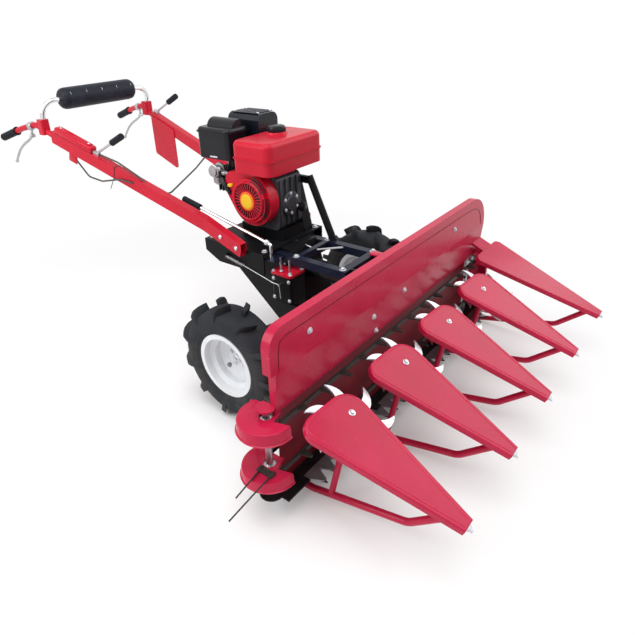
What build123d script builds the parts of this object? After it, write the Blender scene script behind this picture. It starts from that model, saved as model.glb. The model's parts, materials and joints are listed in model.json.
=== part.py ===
from build123d import *
import os
from math import cos, degrees, pi, radians, sin

# Walk-behind mini reaper. Millimetres. While it is modelled, X points forward from the axle,
# Y to the machine's left and Z up from the ground; the last step moves the whole machine so
# that the origin lies on the ground under the middle of its outline.

# Fits and sheet
FIT = 0.3                  # gap between a seated piece and its seat
RUN = 0.25                 # radial running clearance of a shaft in its bore
SHEET = 2.5                # panel and divider sheet
PLATE = 6.0                # bracket plate

# Wheels
TYRE_RADIUS = 219.0        # over the lugs
TYRE_WIDTH = 116.0
TYRE_WALL = 10.0
LUG_HEIGHT = 25.0
LUG_THICKNESS = 20.0
LUG_SKEW = 34.0            # how far a lug leans round the tyre from crown to shoulder
LUGS_PER_SIDE = 11
TYRE_FACETS = 36           # flats round the carcass
TRACK = 826.0              # between the tyre centres
RIM_FLANGE_RADIUS = 117.0
RIM_SEAT_RADIUS = 103.0
RIM_WELL_RADIUS = 86.0
RIM_WIDTH = 100.0
RIM_SHEET = 3.0
DISC_OFFSET = 24.0         # disc lies this far inboard of the tyre centre
HAND_HOLES = 4
HUB_RADIUS = 46.0
HUB_FLANGE = 8.0
HUB_SLEEVE_RADIUS = 24.0
AXLE_RADIUS = 15.0

# Gearbox and axle housings
GEARBOX_HALF_WIDTH = 80.0
GEARBOX_BACK_X = -345.0
GEARBOX_BACK_Z = 410.0
GEARBOX_TOP_Z = 500.0
GEARBOX_TOP_FRONT_X = -20.0
GEARBOX_BOSS_RADIUS = 78.0
CASE_WALL = 7.0            # castings
AXLE_HOUSING_RADIUS = 34.0
AXLE_HOUSING_END = 270.0   # from the middle of the machine
AXLE_END_GAP = 6.0
AXLE_DEPTH = 150.0         # length of shaft inside its housing

# Engine bed and front frame
BED_HALF_WIDTH = 175.0
BED_BACK_X = -365.0
BED_FRONT_X = -62.0
BED_FLANGE = 75.0
ENGINE_BASE_Z = 545.0
BED_BOX_LENGTH = 210.0
BED_BOX_WIDTH = 126.0
RAIL = 30.0                # square rails of the front frame
RAIL_WALL = 3.0
RAIL_BACK_X = -140.0
FRAME_FRONT_X = 245.0
FRAME_CROSS_X = 15.0
RAIL_TOP_Z = 492.0
DRIVE_Z = 415.0            # drive tube from the gearbox to the header
DRIVE_START_X = 75.0
DRIVE_RADIUS = 27.0
DRIVE_SEAT = 6.0           # depth of its seat in the bevel case
BEVEL_X = 325.0
BEVEL_RADIUS = 42.0

# Engine
CRANK_X = -190.0
CRANK_Z = 663.0
RECOIL_Y = -98.0           # face of the recoil starter
FAN_COVER_RADIUS = 99.0
FAN_COVER_DEPTH = 58.0
CRANKCASE_LENGTH = 190.0
PTO_FACE_Y = 92.0
CRANKCASE_TOP_Z = 748.0
CYLINDER_LENGTH = 120.0
TANK_FRONT_X = -72.0
TANK_WIDTH = 182.0
TANK_RIGHT_Y = -104.0
TANK_LENGTH = 310.0
TANK_BOTTOM_Z = 764.0
TANK_TOP_Z = 879.0
TANK_SEAM_Z = 816.0
CAP_RADIUS = 35.0
CAP_HEIGHT = 30.0
CLEANER_GAP = 54.0         # behind the tank
CLEANER_LENGTH = 172.0
CLEANER_WIDTH = 120.0
CLEANER_BOTTOM_Z = 785.0
CLEANER_TOP_Z = 900.0
MUFFLER_TOP_Z = 938.0
MUFFLER_WIDTH = 110.0
HUMP_RADIUS = 38.0         # rounded top of the air cleaner
HUMP_RISE = 28.0

# Handles
HANDLE_HEIGHT = 50.0
HANDLE_WIDTH = 30.0
HANDLE_WALL = 2.5
HANDLE_CAP = 5.0           # closed end of the rectangular run
HANDLE_TUBE_BEND = 60.0
HANDLE_FOOT = (-142.0, 190.0, 510.0)
HANDLE_BEND = (-330.0, 190.0, 578.0)
HANDLE_TOP = (-1168.0, 267.0, 836.0)
HANDLE_RISE = (-1272.0, 282.0, 878.0)
GRIP_ROOT = (-1375.0, 297.0, 855.0)
GRIP_END = (-1530.0, 318.0, 806.0)
HANDLE_TUBE_RADIUS = 12.5
GRIP_RADIUS = 17.0
GRIP_LENGTH = 125.0
CLUTCH_CLAMP = 24.0
CLUTCH_CLAMP_WALL = 6.0
CLUTCH_DROP = 58.0         # from the tube down to the lever's pivot
CLUTCH_KNEE = (-102.0, -100.0)
CLUTCH_TIP = (-196.0, -171.0)
CLUTCH_BLADE = 8.0         # half width of the blade
CLUTCH_THICKNESS = 8.0
BAR_SHARE = 0.52           # its place between the handle's end and the tube's first bend
BAR_RADIUS = 11.0
BAR_BEND = 60.0
BAR_CLAMP = (44.0, 38.0, 64.0)
PAD_X = -1200.0
PAD_Z = 976.0
PAD_RADIUS = 50.0
PAD_LENGTH = 380.0

# Header
HEADER_MIDDLE_Y = 51.0
PANEL_FACE_X = 410.0
PANEL_DEPTH = 28.0
PANEL_RIGHT_Y = -671.0
PANEL_LEFT_Y = 655.0
PANEL_BOTTOM_Z = 335.0
PANEL_TOP_Z = 593.0
PANEL_CORNERS = (55.0, 120.0)   # right and left upper corner
PANEL_CREASE_Z = 460.0     # below it the face leans back
PANEL_LEAN = 12.0
PANEL_STEP = 19.0          # the right end steps in below the crease
PANEL_STEP_Z = 467.0
EAR_LIFT = 22.0            # bearing ear above the panel's lower edge
EAR_RADIUS = 26.0
END_LUG = (78.0, 80.0, 10.0)    # length, width and thickness of the last divider's lug
CONVEYOR_X = 378.0
SPROCKET_RIGHT_Y = -668.0
SPROCKET_LEFT_Y = 600.0
CHAIN_INNER_RADIUS = 32.0
CHAIN_THICKNESS = 8.0
CHAIN_HEIGHT = 14.0
UPPER_CHAIN_Z = 315.0
LOWER_CHAIN_Z = 155.5
CHAIN_LUG_LENGTH = 30.0
CHAIN_LUG_PITCH = 100.0
DECK_TOP_Z = 66.0
DECK_SHEET = 5.0
DECK_BACK_X = 335.0
DECK_FRONT_X = 440.0
DECK_END_RADIUS = 36.0     # round the right sprocket shaft
GUARD_GAP = 14.0           # past the chains' lugs
GUARD_RADIUS = CHAIN_INNER_RADIUS + CHAIN_THICKNESS + CHAIN_LUG_LENGTH + GUARD_GAP
GUARD_NOTCH = (34.0, -6.0)      # its corner, from the sprocket axis
GUARD_FLAT = 34.0          # straight edge of the plates, inboard of the sprocket axis
GUARD_BAR_X = CONVEYOR_X - GUARD_RADIUS + GUARD_GAP / 2   # bar behind the chains
GUARD_BAR_Y = 26.0         # inboard of the right sprocket
GUARD_BAR_TAB = 12.0
GUARD_BAR_RADIUS = 4.0
BACK_PLATE = 3.0
BACK_FLANGE = 18.0         # turned forward under the panel
SHAFT_RADIUS = 10.0
SPROCKET_HUB = 11.0        # half length

# Knife
KNIFE_PITCH = 50.0
KNIFE_SECTIONS = 25
KNIFE_TOOTH = 38.0
KNIFE_THICKNESS = 4.0
KNIFE_STRIP = 22.0
KNIFE_STROKE = 25.0        # each way
KNIFE_GAP = 6.0            # round the moving knife

# Dividers and star wheels
DIVIDERS = 5
DIVIDER_PITCH = 300.0
DIVIDER_SLOPE = 24.5       # degrees, down to the front
BOLT_X = 558.0
BOLT_Z = 338.0
DIVIDER_LENGTH = 376.0     # from the bolt to the tip
DIVIDER_SHOULDERS = ((-22.0, -86.0, 45.0), (-3.0, 15.0, 60.0))   # x, y and radius of its back corners
DIVIDER_TIP_WIDTH = 45.0
DIVIDER_FLANGE = 18.0
STUD_RADIUS = 5.0
STUD_LENGTH = 14.0
STAR_RADIUS = 132.0
STAR_DROP = 42.0           # middle of the star below the divider's top
STAR_THICKNESS = 6.0
STAR_TINES = 7
STAR_AXIS = (15.0, 25.0)   # on the divider, from its bolt
STAR_DISC_RADIUS = 58.0
STAR_HUB_RADIUS = 21.0
PIN_RADIUS = 8.0
SKID_RADIUS = 10.5
SKID_INSET = 24.0          # from the deck's back edge and from the tip
SKID_LIFT_X = 430.0        # where it leaves the ground
SKID_KNEE = (742.0, 82.0)
SKID_BENDS = [32.0, 60.0, 60.0]
POST_FOOT_X = 497.0
POST_FOOT_Z = 24.0
POST_TOP_DROP = 86.0       # along the star's axis below the divider's top

SIDES = {"right": -1, "left": 1}
AXLE_Z = TYRE_RADIUS


def block(x0, x1, y0, y1, z0, z1):
    """A box between two corners."""
    return Pos((x0 + x1) / 2, (y0 + y1) / 2, (z0 + z1) / 2) * Box(x1 - x0, y1 - y0, z1 - z0)


def rod(start, end, radius):
    """A round bar from one point to another."""
    line = Vector(*end) - Vector(*start)
    ends = (Align.CENTER, Align.CENTER, Align.MIN)
    return Plane(origin=start, z_dir=line) * Cylinder(radius, line.length, align=ends)


def bent_tube(points, radius, bends, wall=None):
    """A round tube along straight runs joined by tangent arcs."""
    path = FilletPolyline(*points, radius=bends)
    outside = sweep((path ^ 0) * Circle(radius), path)
    if wall is None:
        return outside
    return outside - sweep((path ^ 0) * Circle(radius - wall), path)


def upright(x, y, z0, z1, radius):
    """A vertical round bar."""
    return rod((x, y, z0), (x, y, z1), radius)


def side_point(point, side):
    """A point given for the left side, on either side."""
    return (point[0], point[1] * side, point[2])


# Wheels: all three pieces are turned about Y at the origin, outboard towards +Y

def turned_facets(profile):
    """A closed profile of (radius, y) points carried round the axle in flat facets."""
    step = 2 * pi / TYRE_FACETS
    faces = []
    for number in range(TYRE_FACETS):
        turn = [(cos(step * k), sin(step * k)) for k in (number, number + 1)]
        for (r0, y0), (r1, y1) in zip(profile, profile[1:] + profile[:1]):
            corners = [(r0 * turn[0][0], y0, r0 * turn[0][1]), (r1 * turn[0][0], y1, r1 * turn[0][1]),
                       (r1 * turn[1][0], y1, r1 * turn[1][1]), (r0 * turn[1][0], y0, r0 * turn[1][1])]
            faces.append(Face(Wire.make_polygon([Vector(*corner) for corner in corners], close=True)))
    return Solid(Shell(faces))


def tyre():
    """A faceted carcass and a ring of leaning bar lugs on each side that wrap its shoulders."""
    carcass = TYRE_RADIUS - LUG_HEIGHT
    half = TYRE_WIDTH / 2
    bead = RIM_WIDTH / 2 - RIM_SHEET - FIT
    seat = (RIM_SEAT_RADIUS + FIT) / cos(pi / TYRE_FACETS)
    lip = RIM_FLANGE_RADIUS + 1
    bulge = (carcass + lip) / 2
    crown, shoulder = half * 0.41, half * 0.85
    outside = [(seat, bead), (lip, bead), (bulge, half), (carcass - 8, shoulder), (carcass, crown)]
    inside = [(seat, bead - TYRE_WALL), (bulge, half - TYRE_WALL), (carcass - TYRE_WALL - 6, crown)]
    profile = outside + [(r, -y) for r, y in reversed(outside)]
    profile += [(r, -y) for r, y in inside] + inside[::-1]
    body = turned_facets(profile)
    edge = half - 2
    rolling = turned_facets([(1, half), (carcass - 4, half), (TYRE_RADIUS, half * 0.74), (TYRE_RADIUS, -half * 0.74),
                             (carcass - 4, -half), (1, -half)])
    lugs = []
    for row in (1, -1):
        foot = Plane(origin=(0, 0, -bulge), x_dir=(1, 0, 0), z_dir=(0, 0, -1))
        near, far = -LUG_THICKNESS / 2, LUG_THICKNESS / 2
        outline = Polygon((near, -row * 3), (far, -row * 3), (far + LUG_SKEW, -row * edge),
                          (near + LUG_SKEW * 0.8, -row * edge), align=None)
        lug = extrude(foot * outline, amount=TYRE_RADIUS - bulge, dir=(0, 0, -1)) & rolling
        for number in range(LUGS_PER_SIDE):
            lugs.append(Rot(0, (number + (0.5 if row < 0 else 0)) * 360 / LUGS_PER_SIDE, 0) * lug)
    return body.fuse(*lugs)


def rim():
    """A pressed rim with a drop well and a dished disc pierced by hand holes."""
    half = RIM_WIDTH / 2
    seat, well, flange = RIM_SEAT_RADIUS, RIM_WELL_RADIUS, RIM_FLANGE_RADIUS
    inner_seat, inner_well = seat - RIM_SHEET, well - RIM_SHEET
    ledge, floor = half * 0.5, half * 0.3
    outline = [
        (flange, half), (flange, half - RIM_SHEET), (seat, half - RIM_SHEET), (seat, ledge),
        (well, floor), (well, -floor), (seat, -ledge), (seat, -half + RIM_SHEET),
        (flange, -half + RIM_SHEET), (flange, -half), (inner_seat, -half), (inner_seat, -ledge - 1),
        (inner_well, -floor - 1), (inner_well, floor + 1), (inner_seat, ledge + 1), (inner_seat, half),
    ]
    barrel = revolve(Polygon(*outline, align=None), Axis.Y)
    dish = DISC_OFFSET
    face = [(AXLE_RADIUS + FIT, -dish), (HUB_RADIUS + 8, -dish), (inner_well, -dish + 14),
            (inner_well, -dish + 14 + RIM_SHEET * 1.3), (HUB_RADIUS + 8, -dish + RIM_SHEET * 1.2),
            (AXLE_RADIUS + FIT, -dish + RIM_SHEET * 1.2)]
    disc = revolve(Polygon(*face, align=None), Axis.Y)
    hole_radius = (HUB_RADIUS + 8 + inner_well) / 2
    for number in range(HAND_HOLES):
        cutter = Pos(hole_radius, -dish + 8, 0) * Rot(90, 0, 0) * Cylinder(9, 40)
        disc -= Rot(0, 45 + number * 360 / HAND_HOLES, 0) * cutter
    return barrel + disc


def axle(side):
    """A half shaft with the hub that the rim's disc is bolted to."""
    hub_face = TRACK / 2 - DISC_OFFSET
    flange = Pos(0, hub_face - HUB_FLANGE / 2, 0) * Rot(90, 0, 0) * Cylinder(HUB_RADIUS, HUB_FLANGE)
    sleeve_start = AXLE_HOUSING_END + AXLE_END_GAP
    sleeve = rod((0, sleeve_start, 0), (0, hub_face, 0), HUB_SLEEVE_RADIUS)
    shaft = rod((0, AXLE_HOUSING_END - AXLE_DEPTH, 0), (0, hub_face + 16, 0), AXLE_RADIUS)
    whole = flange + sleeve + shaft
    if side < 0:
        whole = Rot(0, 0, 180) * whole
    return Pos(0, 0, AXLE_Z) * whole


def place_wheel(piece, side):
    """Stand a wheel piece on its side of the axle, dish outwards."""
    turn = Rot(0, 0, 0) if side > 0 else Rot(0, 0, 180)
    return Pos(0, side * TRACK / 2, AXLE_Z) * turn * piece


# Gearbox, bed and front frame

def gearbox():
    """A case that leans back from the axle to the engine, with a housing tube each side."""
    top = Polygon((GEARBOX_BACK_X, GEARBOX_BACK_Z), (GEARBOX_BACK_X, GEARBOX_TOP_Z),
                  (GEARBOX_TOP_FRONT_X, GEARBOX_TOP_Z), align=None)
    boss = Pos(0, AXLE_Z) * Circle(GEARBOX_BOSS_RADIUS)
    outline = make_hull(top.edges() + boss.edges())
    case = extrude(Plane.XZ * outline, amount=GEARBOX_HALF_WIDTH, both=True)
    case += rod((0, 0, DRIVE_Z), (DRIVE_START_X, 0, DRIVE_Z), DRIVE_RADIUS + 8)
    inside = offset(outline, -CASE_WALL, kind=Kind.INTERSECTION)
    case -= extrude(Plane.XZ * inside, amount=GEARBOX_HALF_WIDTH - CASE_WALL, both=True)
    for side in SIDES.values():
        foot = (0, side * GEARBOX_HALF_WIDTH, AXLE_Z)
        case += rod(foot, (0, side * AXLE_HOUSING_END, AXLE_Z), AXLE_HOUSING_RADIUS)
        case += rod(foot, (0, side * (GEARBOX_HALF_WIDTH + 12), AXLE_Z), GEARBOX_BOSS_RADIUS - 14)
        inner_end = AXLE_HOUSING_END - AXLE_DEPTH - AXLE_END_GAP
        bore_start = (0, side * inner_end, AXLE_Z)
        case -= rod(bore_start, (0, side * (AXLE_HOUSING_END + 1), AXLE_Z), AXLE_RADIUS + RUN)
    return case


SIDE_BOX = dict(x0=-40.0, x1=50.0, depth=82.0, z0=330.0, z1=437.0)
COVER_THICKNESS = 9.0


def side_gearcase():
    """The shift case on the right of the gearbox."""
    y1 = -GEARBOX_HALF_WIDTH
    case = block(SIDE_BOX["x0"], SIDE_BOX["x1"], y1 - SIDE_BOX["depth"], y1,
                 SIDE_BOX["z0"], SIDE_BOX["z1"])
    case = fillet(case.edges().filter_by(Axis.Z), 10)
    wall = CASE_WALL
    return case - block(SIDE_BOX["x0"] + wall, SIDE_BOX["x1"] - wall, y1 - SIDE_BOX["depth"] + wall, y1 - wall,
                        SIDE_BOX["z0"] + wall, SIDE_BOX["z1"] + wall)


def gear_cover():
    """The square cover bolted on the shift case."""
    y1 = -GEARBOX_HALF_WIDTH
    plate = block(SIDE_BOX["x0"] - 4, SIDE_BOX["x1"] + 4, y1 - SIDE_BOX["depth"] - 4, y1,
                  SIDE_BOX["z1"], SIDE_BOX["z1"] + COVER_THICKNESS)
    return fillet(plate.edges().filter_by(Axis.Z), 12)


BELT_Y = (PTO_FACE_Y + 6, PTO_FACE_Y + 60)
BELT_DRIVEN = (-150.0, 395.0)
BELT_TOP_RADIUS = 62.0
BELT_BOTTOM_RADIUS = 88.0
BELT_SLOT_GAP = 4.0


def belt_outline(grow=0.0):
    """The tall outline round the engine pulley and the driven pulley."""
    upper = Pos(CRANK_X, CRANK_Z) * Circle(BELT_TOP_RADIUS + grow)
    lower = Pos(*BELT_DRIVEN) * Circle(BELT_BOTTOM_RADIUS + grow)
    return make_hull(upper.edges() + lower.edges())


def belt_guard():
    """The closed cover of the belt drive on the left side."""
    y0, y1 = BELT_Y
    cover = extrude(Plane.XZ.offset(-y1) * belt_outline(), amount=y1 - y0, dir=(0, -1, 0))
    outer = cover.faces().sort_by(Axis.Y)[-1].edges()
    cover = fillet(outer, 8)
    cover -= extrude(Plane.XZ.offset(-y1 + SHEET) * belt_outline(-SHEET), amount=y1 - y0, dir=(0, -1, 0))
    boss = rod((BELT_DRIVEN[0], GEARBOX_HALF_WIDTH, BELT_DRIVEN[1]), (BELT_DRIVEN[0], y1 - SHEET, BELT_DRIVEN[1]), 26)
    return cover + boss


def engine_bed():
    """The bed plate with its sides turned down for the handles and a raised box for the engine."""
    top = GEARBOX_TOP_Z + PLATE
    half = BED_HALF_WIDTH
    bed = block(BED_BACK_X, BED_FRONT_X, -half, half, GEARBOX_TOP_Z, top)
    for side in SIDES.values():
        wall = Polygon((BED_BACK_X, GEARBOX_TOP_Z), (BED_BACK_X, GEARBOX_TOP_Z - BED_FLANGE * 0.55),
                       (BED_BACK_X + 70, GEARBOX_TOP_Z - BED_FLANGE), (BED_FRONT_X, GEARBOX_TOP_Z - BED_FLANGE),
                       (BED_FRONT_X, GEARBOX_TOP_Z), align=None)
        bed += Pos(0, side * (half - PLATE / 2), 0) * extrude(Plane.XZ * wall, amount=PLATE / 2, both=True)
    x0 = CRANK_X - BED_BOX_LENGTH / 2
    y0 = RECOIL_Y + FAN_COVER_DEPTH + 4
    x1, y1 = x0 + BED_BOX_LENGTH, y0 + BED_BOX_WIDTH
    bed += block(x0, x1, y0, y1, top, ENGINE_BASE_Z)
    bed -= block(x0 + PLATE, x1 - PLATE, y0 + PLATE, y1 - PLATE, top, ENGINE_BASE_Z - PLATE)
    y0, y1 = BELT_Y
    slot = extrude(Plane.XZ.offset(-y1 - BELT_SLOT_GAP) * belt_outline(BELT_SLOT_GAP),
                   amount=y1 - y0 + 2 * BELT_SLOT_GAP, dir=(0, -1, 0))
    return bed - slot


def front_frame():
    """Two square rails beside the gearbox, joined by cross bars ahead of it."""
    low = RAIL_TOP_Z - RAIL
    outer = GEARBOX_HALF_WIDTH + RAIL
    frame = block(FRAME_FRONT_X - RAIL, FRAME_FRONT_X, -outer, outer, low, RAIL_TOP_Z)
    frame += block(FRAME_CROSS_X, FRAME_CROSS_X + RAIL * 0.7, -outer, outer, low, RAIL_TOP_Z)
    for side in SIDES.values():
        y0, y1 = sorted((side * GEARBOX_HALF_WIDTH, side * outer))
        frame += block(RAIL_BACK_X if side < 0 else BELT_CLEAR_X, FRAME_FRONT_X, y0, y1, low, RAIL_TOP_Z)
    for side in SIDES.values():
        back = RAIL_BACK_X if side < 0 else BELT_CLEAR_X
        y0, y1 = sorted((side * (GEARBOX_HALF_WIDTH + RAIL_WALL), side * (outer - RAIL_WALL)))
        frame -= block(back - 1, FRAME_FRONT_X - RAIL_WALL, y0, y1, low + RAIL_WALL, RAIL_TOP_Z - RAIL_WALL)
    frame += block(LEVER_X - 25, LEVER_X + 25, -LEVER_Y - 14, -outer, LEVER_FOOT_Z - PLATE, LEVER_FOOT_Z)
    return frame


BELT_CLEAR_X = BELT_DRIVEN[0] + BELT_BOTTOM_RADIUS + 12
LEVER_X = -45.0
LEVER_Y = 150.0
LEVER_FOOT_Z = RAIL_TOP_Z - 6
STAY_RADIUS = 14.0
STAY_TOP = (-66.0, 726.0)
STAY_FOOT_X = 50.0


def engine_stay():
    """The round stay from the front frame's left rail up to a lug on the engine."""
    y = PTO_FACE_Y + 16
    tube = rod((STAY_FOOT_X, y, RAIL_TOP_Z - 20), (STAY_TOP[0], y, STAY_TOP[1]), STAY_RADIUS)
    tube = split(tube, Plane.XY.offset(RAIL_TOP_Z), keep=Keep.TOP)
    lug = block(CRANK_X + BELT_TOP_RADIUS + 10, STAY_TOP[0] + 10, PTO_FACE_Y, y, STAY_TOP[1] - 26, STAY_TOP[1])
    return tube + lug


def drive_tube():
    """The tube that takes the drive from the gearbox to the header's bevel case."""
    start, end = (DRIVE_START_X, 0, DRIVE_Z), (BEVEL_X - BEVEL_RADIUS + DRIVE_SEAT, 0, DRIVE_Z)
    return rod(start, end, DRIVE_RADIUS) - rod(start, end, DRIVE_RADIUS - CASE_WALL)


def bevel_case():
    """The bevel gear case behind the panel."""
    case = upright(BEVEL_X, 0, PANEL_BOTTOM_Z + 12, DRIVE_Z + 48, BEVEL_RADIUS)
    case += block(BEVEL_X, PANEL_FACE_X, -30, 30, DRIVE_Z - 30, DRIVE_Z + 30) & panel_block(SHEET, BEVEL_X)
    return case - rod((0, 0, DRIVE_Z), (BEVEL_X - BEVEL_RADIUS + DRIVE_SEAT, 0, DRIVE_Z),
                      DRIVE_RADIUS + FIT)


# Engine

def engine_block():
    """Crankcase with a finned cylinder that leans back under the air cleaner."""
    x0 = CRANK_X - CRANKCASE_LENGTH / 2
    y0 = RECOIL_Y + FAN_COVER_DEPTH
    case = block(x0, x0 + CRANKCASE_LENGTH, y0, PTO_FACE_Y, ENGINE_BASE_Z, CRANKCASE_TOP_Z)
    case = fillet(case.edges().filter_by(Axis.Y), 22)
    fins = 7
    barrel = block(x0 - CYLINDER_LENGTH, x0 + 20, y0 + 20, PTO_FACE_Y - 20, CRANK_Z + 8, CRANKCASE_TOP_Z - 12)
    for number in range(fins):
        x = x0 - CYLINDER_LENGTH + number * CYLINDER_LENGTH / fins
        barrel += block(x, x + 5, y0 + 2, PTO_FACE_Y - 4, CRANK_Z - 8, CRANKCASE_TOP_Z)
    return case + barrel


def fan_cover():
    """The pressed fan cover with its round face and the hood that runs back over the cylinder."""
    y1 = RECOIL_Y + FAN_COVER_DEPTH
    depth = FAN_COVER_DEPTH - 14

    def outline(inset):
        ring = Pos(CRANK_X, CRANK_Z) * Circle(FAN_COVER_RADIUS - inset)
        hood = Pos(CRANK_X - 70, CRANK_Z + 40) * RectangleRounded(110 - 2 * inset, 110 - 2 * inset, 38 - inset)
        return Plane.XZ.offset(-y1) * make_hull(ring.edges() + hood.edges())

    cover = extrude(outline(0), amount=depth, dir=(0, -1, 0))
    face = FAN_COVER_RADIUS - 16
    cover += rod((CRANK_X, y1, CRANK_Z), (CRANK_X, RECOIL_Y, CRANK_Z), face)
    cover -= extrude(outline(SHEET), amount=depth - SHEET, dir=(0, -1, 0))
    cover -= rod((CRANK_X, y1, CRANK_Z), (CRANK_X, RECOIL_Y + SHEET, CRANK_Z), face - SHEET)
    return cover


def starter_disc():
    """The round centre plate of the recoil starter."""
    return rod((CRANK_X, RECOIL_Y, CRANK_Z), (CRANK_X, RECOIL_Y - 5, CRANK_Z), 44)


def fuel_tank():
    """A rounded tank with a flange where its two halves meet."""
    back = TANK_FRONT_X - TANK_WIDTH
    left = TANK_RIGHT_Y + TANK_LENGTH
    tank = block(back, TANK_FRONT_X, TANK_RIGHT_Y, left, TANK_BOTTOM_Z, TANK_TOP_Z)
    tank = fillet(tank.edges().filter_by(Axis.Z), 30)
    tank = fillet(tank.faces().sort_by(Axis.Z)[-1].edges(), 20)
    seam = block(back - 4, TANK_FRONT_X + 4, TANK_RIGHT_Y - 4, left + 4, TANK_SEAM_Z - 2, TANK_SEAM_Z + 2)
    seam = fillet(seam.edges().filter_by(Axis.Z), 32)
    inside = block(back + SHEET, TANK_FRONT_X - SHEET, TANK_RIGHT_Y + SHEET, left - SHEET,
                   TANK_BOTTOM_Z + SHEET, TANK_TOP_Z - SHEET)
    inside = fillet(inside.edges().filter_by(Axis.Z), 30)
    inside = fillet(inside.faces().sort_by(Axis.Z)[-1].edges(), 20)
    foot = block(back + 30, TANK_FRONT_X - 30, TANK_RIGHT_Y + 70, PTO_FACE_Y - 20, CRANKCASE_TOP_Z, TANK_BOTTOM_Z)
    return tank + seam + foot - inside


def fuel_cap():
    """The filler cap."""
    x, y = TANK_FRONT_X - TANK_WIDTH * 0.6, TANK_RIGHT_Y + TANK_LENGTH * 0.56
    return upright(x, y, TANK_TOP_Z, TANK_TOP_Z + CAP_HEIGHT, CAP_RADIUS)


def air_cleaner():
    """The air cleaner box on its elbow above the cylinder."""
    front = TANK_FRONT_X - TANK_WIDTH - CLEANER_GAP
    back = front - CLEANER_LENGTH
    y0 = TANK_RIGHT_Y + 44
    box = block(back, front, y0, y0 + CLEANER_WIDTH, CLEANER_BOTTOM_Z, CLEANER_TOP_Z)
    box = fillet(box.edges().filter_by(Axis.Z), 22)
    box = fillet(box.faces().sort_by(Axis.Z)[-1].edges(), 12)
    inside = block(back + SHEET, front - SHEET, y0 + SHEET, y0 + CLEANER_WIDTH - SHEET,
                   CLEANER_BOTTOM_Z + SHEET, CLEANER_TOP_Z - SHEET)
    inside = fillet(inside.edges().filter_by(Axis.Z), 22)
    inside = fillet(inside.faces().sort_by(Axis.Z)[-1].edges(), 12)
    hump_y, hump_z = y0 + CLEANER_WIDTH - HUMP_RADIUS - 8, CLEANER_TOP_Z + HUMP_RISE - HUMP_RADIUS
    hump = rod((back + 26, hump_y, hump_z), (front - 10, hump_y, hump_z), HUMP_RADIUS)
    elbow = upright(front - 40, y0 + 62, CRANKCASE_TOP_Z, CLEANER_BOTTOM_Z, 24)
    return box + split(hump, Plane.XY.offset(CLEANER_TOP_Z - SHEET), keep=Keep.TOP) + elbow - inside


def muffler():
    """The exhaust box beside the air cleaner."""
    front = TANK_FRONT_X - TANK_WIDTH - 16
    back = front - CLEANER_LENGTH + 10
    y0 = TANK_RIGHT_Y + 44 + CLEANER_WIDTH + 10
    box = block(back, front, y0, y0 + MUFFLER_WIDTH, CLEANER_BOTTOM_Z + 20, MUFFLER_TOP_Z)
    box = fillet(box.edges().filter_by(Axis.X), 30)
    inside = block(back + SHEET, front - SHEET, y0 + SHEET, y0 + MUFFLER_WIDTH - SHEET,
                   CLEANER_BOTTOM_Z + 20 + SHEET, MUFFLER_TOP_Z - SHEET)
    inside = fillet(inside.edges().filter_by(Axis.X), 30)
    pipe = upright(front - 60, y0 + 14, CRANKCASE_TOP_Z, CLEANER_BOTTOM_Z + 40, 12)
    return box + pipe - inside


# Handles

def band(first, middle, last, half, trim=0.0):
    """A strip of even width round a line with one bend; trim shortens its last end."""
    first, middle, last = Vector(*first), Vector(*middle), Vector(*last)
    lower, upper = (middle - first).normalized(), (last - middle).normalized()
    last = last - upper * trim
    side_0, side_2 = Vector(-lower.Y, lower.X), Vector(-upper.Y, upper.X)
    mitre = side_0 + side_2
    side_1 = mitre * (2 / mitre.dot(mitre))
    edge = [first + side_0 * half, middle + side_1 * half, last + side_2 * half]
    back = [last - side_2 * half, middle - side_1 * half, first - side_0 * half]
    return Polygon(*[(point.X, point.Y) for point in edge + back], align=None)


def handle_run(side, inset, trim):
    """The rectangular run of a handle: its plan strip cut to its side strip."""
    points = [side_point(p, side) for p in (HANDLE_FOOT, HANDLE_BEND, HANDLE_TOP)]
    plan = band(*[(x, y) for x, y, z in points], HANDLE_WIDTH / 2 - inset, trim)
    view = band(*[(x, z) for x, y, z in points], HANDLE_HEIGHT / 2 - inset, trim)
    reach = HANDLE_TOP[1] + HANDLE_WIDTH
    return extrude(plan, amount=2 * PAD_Z, dir=(0, 0, 1)) & extrude(Plane.XZ * view, amount=reach, both=True)


def handle(side):
    """A rectangular tube up to a bent round end that carries the grip."""
    top, bend = Vector(*side_point(HANDLE_TOP, side)), Vector(*side_point(HANDLE_BEND, side))
    run = handle_run(side, 0.0, 0.0) - handle_run(side, HANDLE_WALL, HANDLE_CAP)
    rise, root, end = (side_point(p, side) for p in (HANDLE_RISE, GRIP_ROOT, GRIP_END))
    plug = top - (top - bend).normalized() * HANDLE_CAP
    return run + bent_tube([plug, rise, root, end], HANDLE_TUBE_RADIUS, [HANDLE_TUBE_BEND, HANDLE_TUBE_BEND])


def grip_line(side):
    """End of the handle tube and the direction of its last run."""
    end = Vector(*side_point(GRIP_END, side))
    root = Vector(*side_point(GRIP_ROOT, side))
    return end, (end - root).normalized()


def grip(side):
    """A rubber sleeve, closed over the tube's end."""
    end, along = grip_line(side)
    start = end - along * GRIP_LENGTH
    sleeve = rod(start, end + along * 6, GRIP_RADIUS) + rod(start, start + along * 6, GRIP_RADIUS + 5)
    return sleeve - rod(start - along * 5, end + along * FIT, HANDLE_TUBE_RADIUS + FIT)


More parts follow.
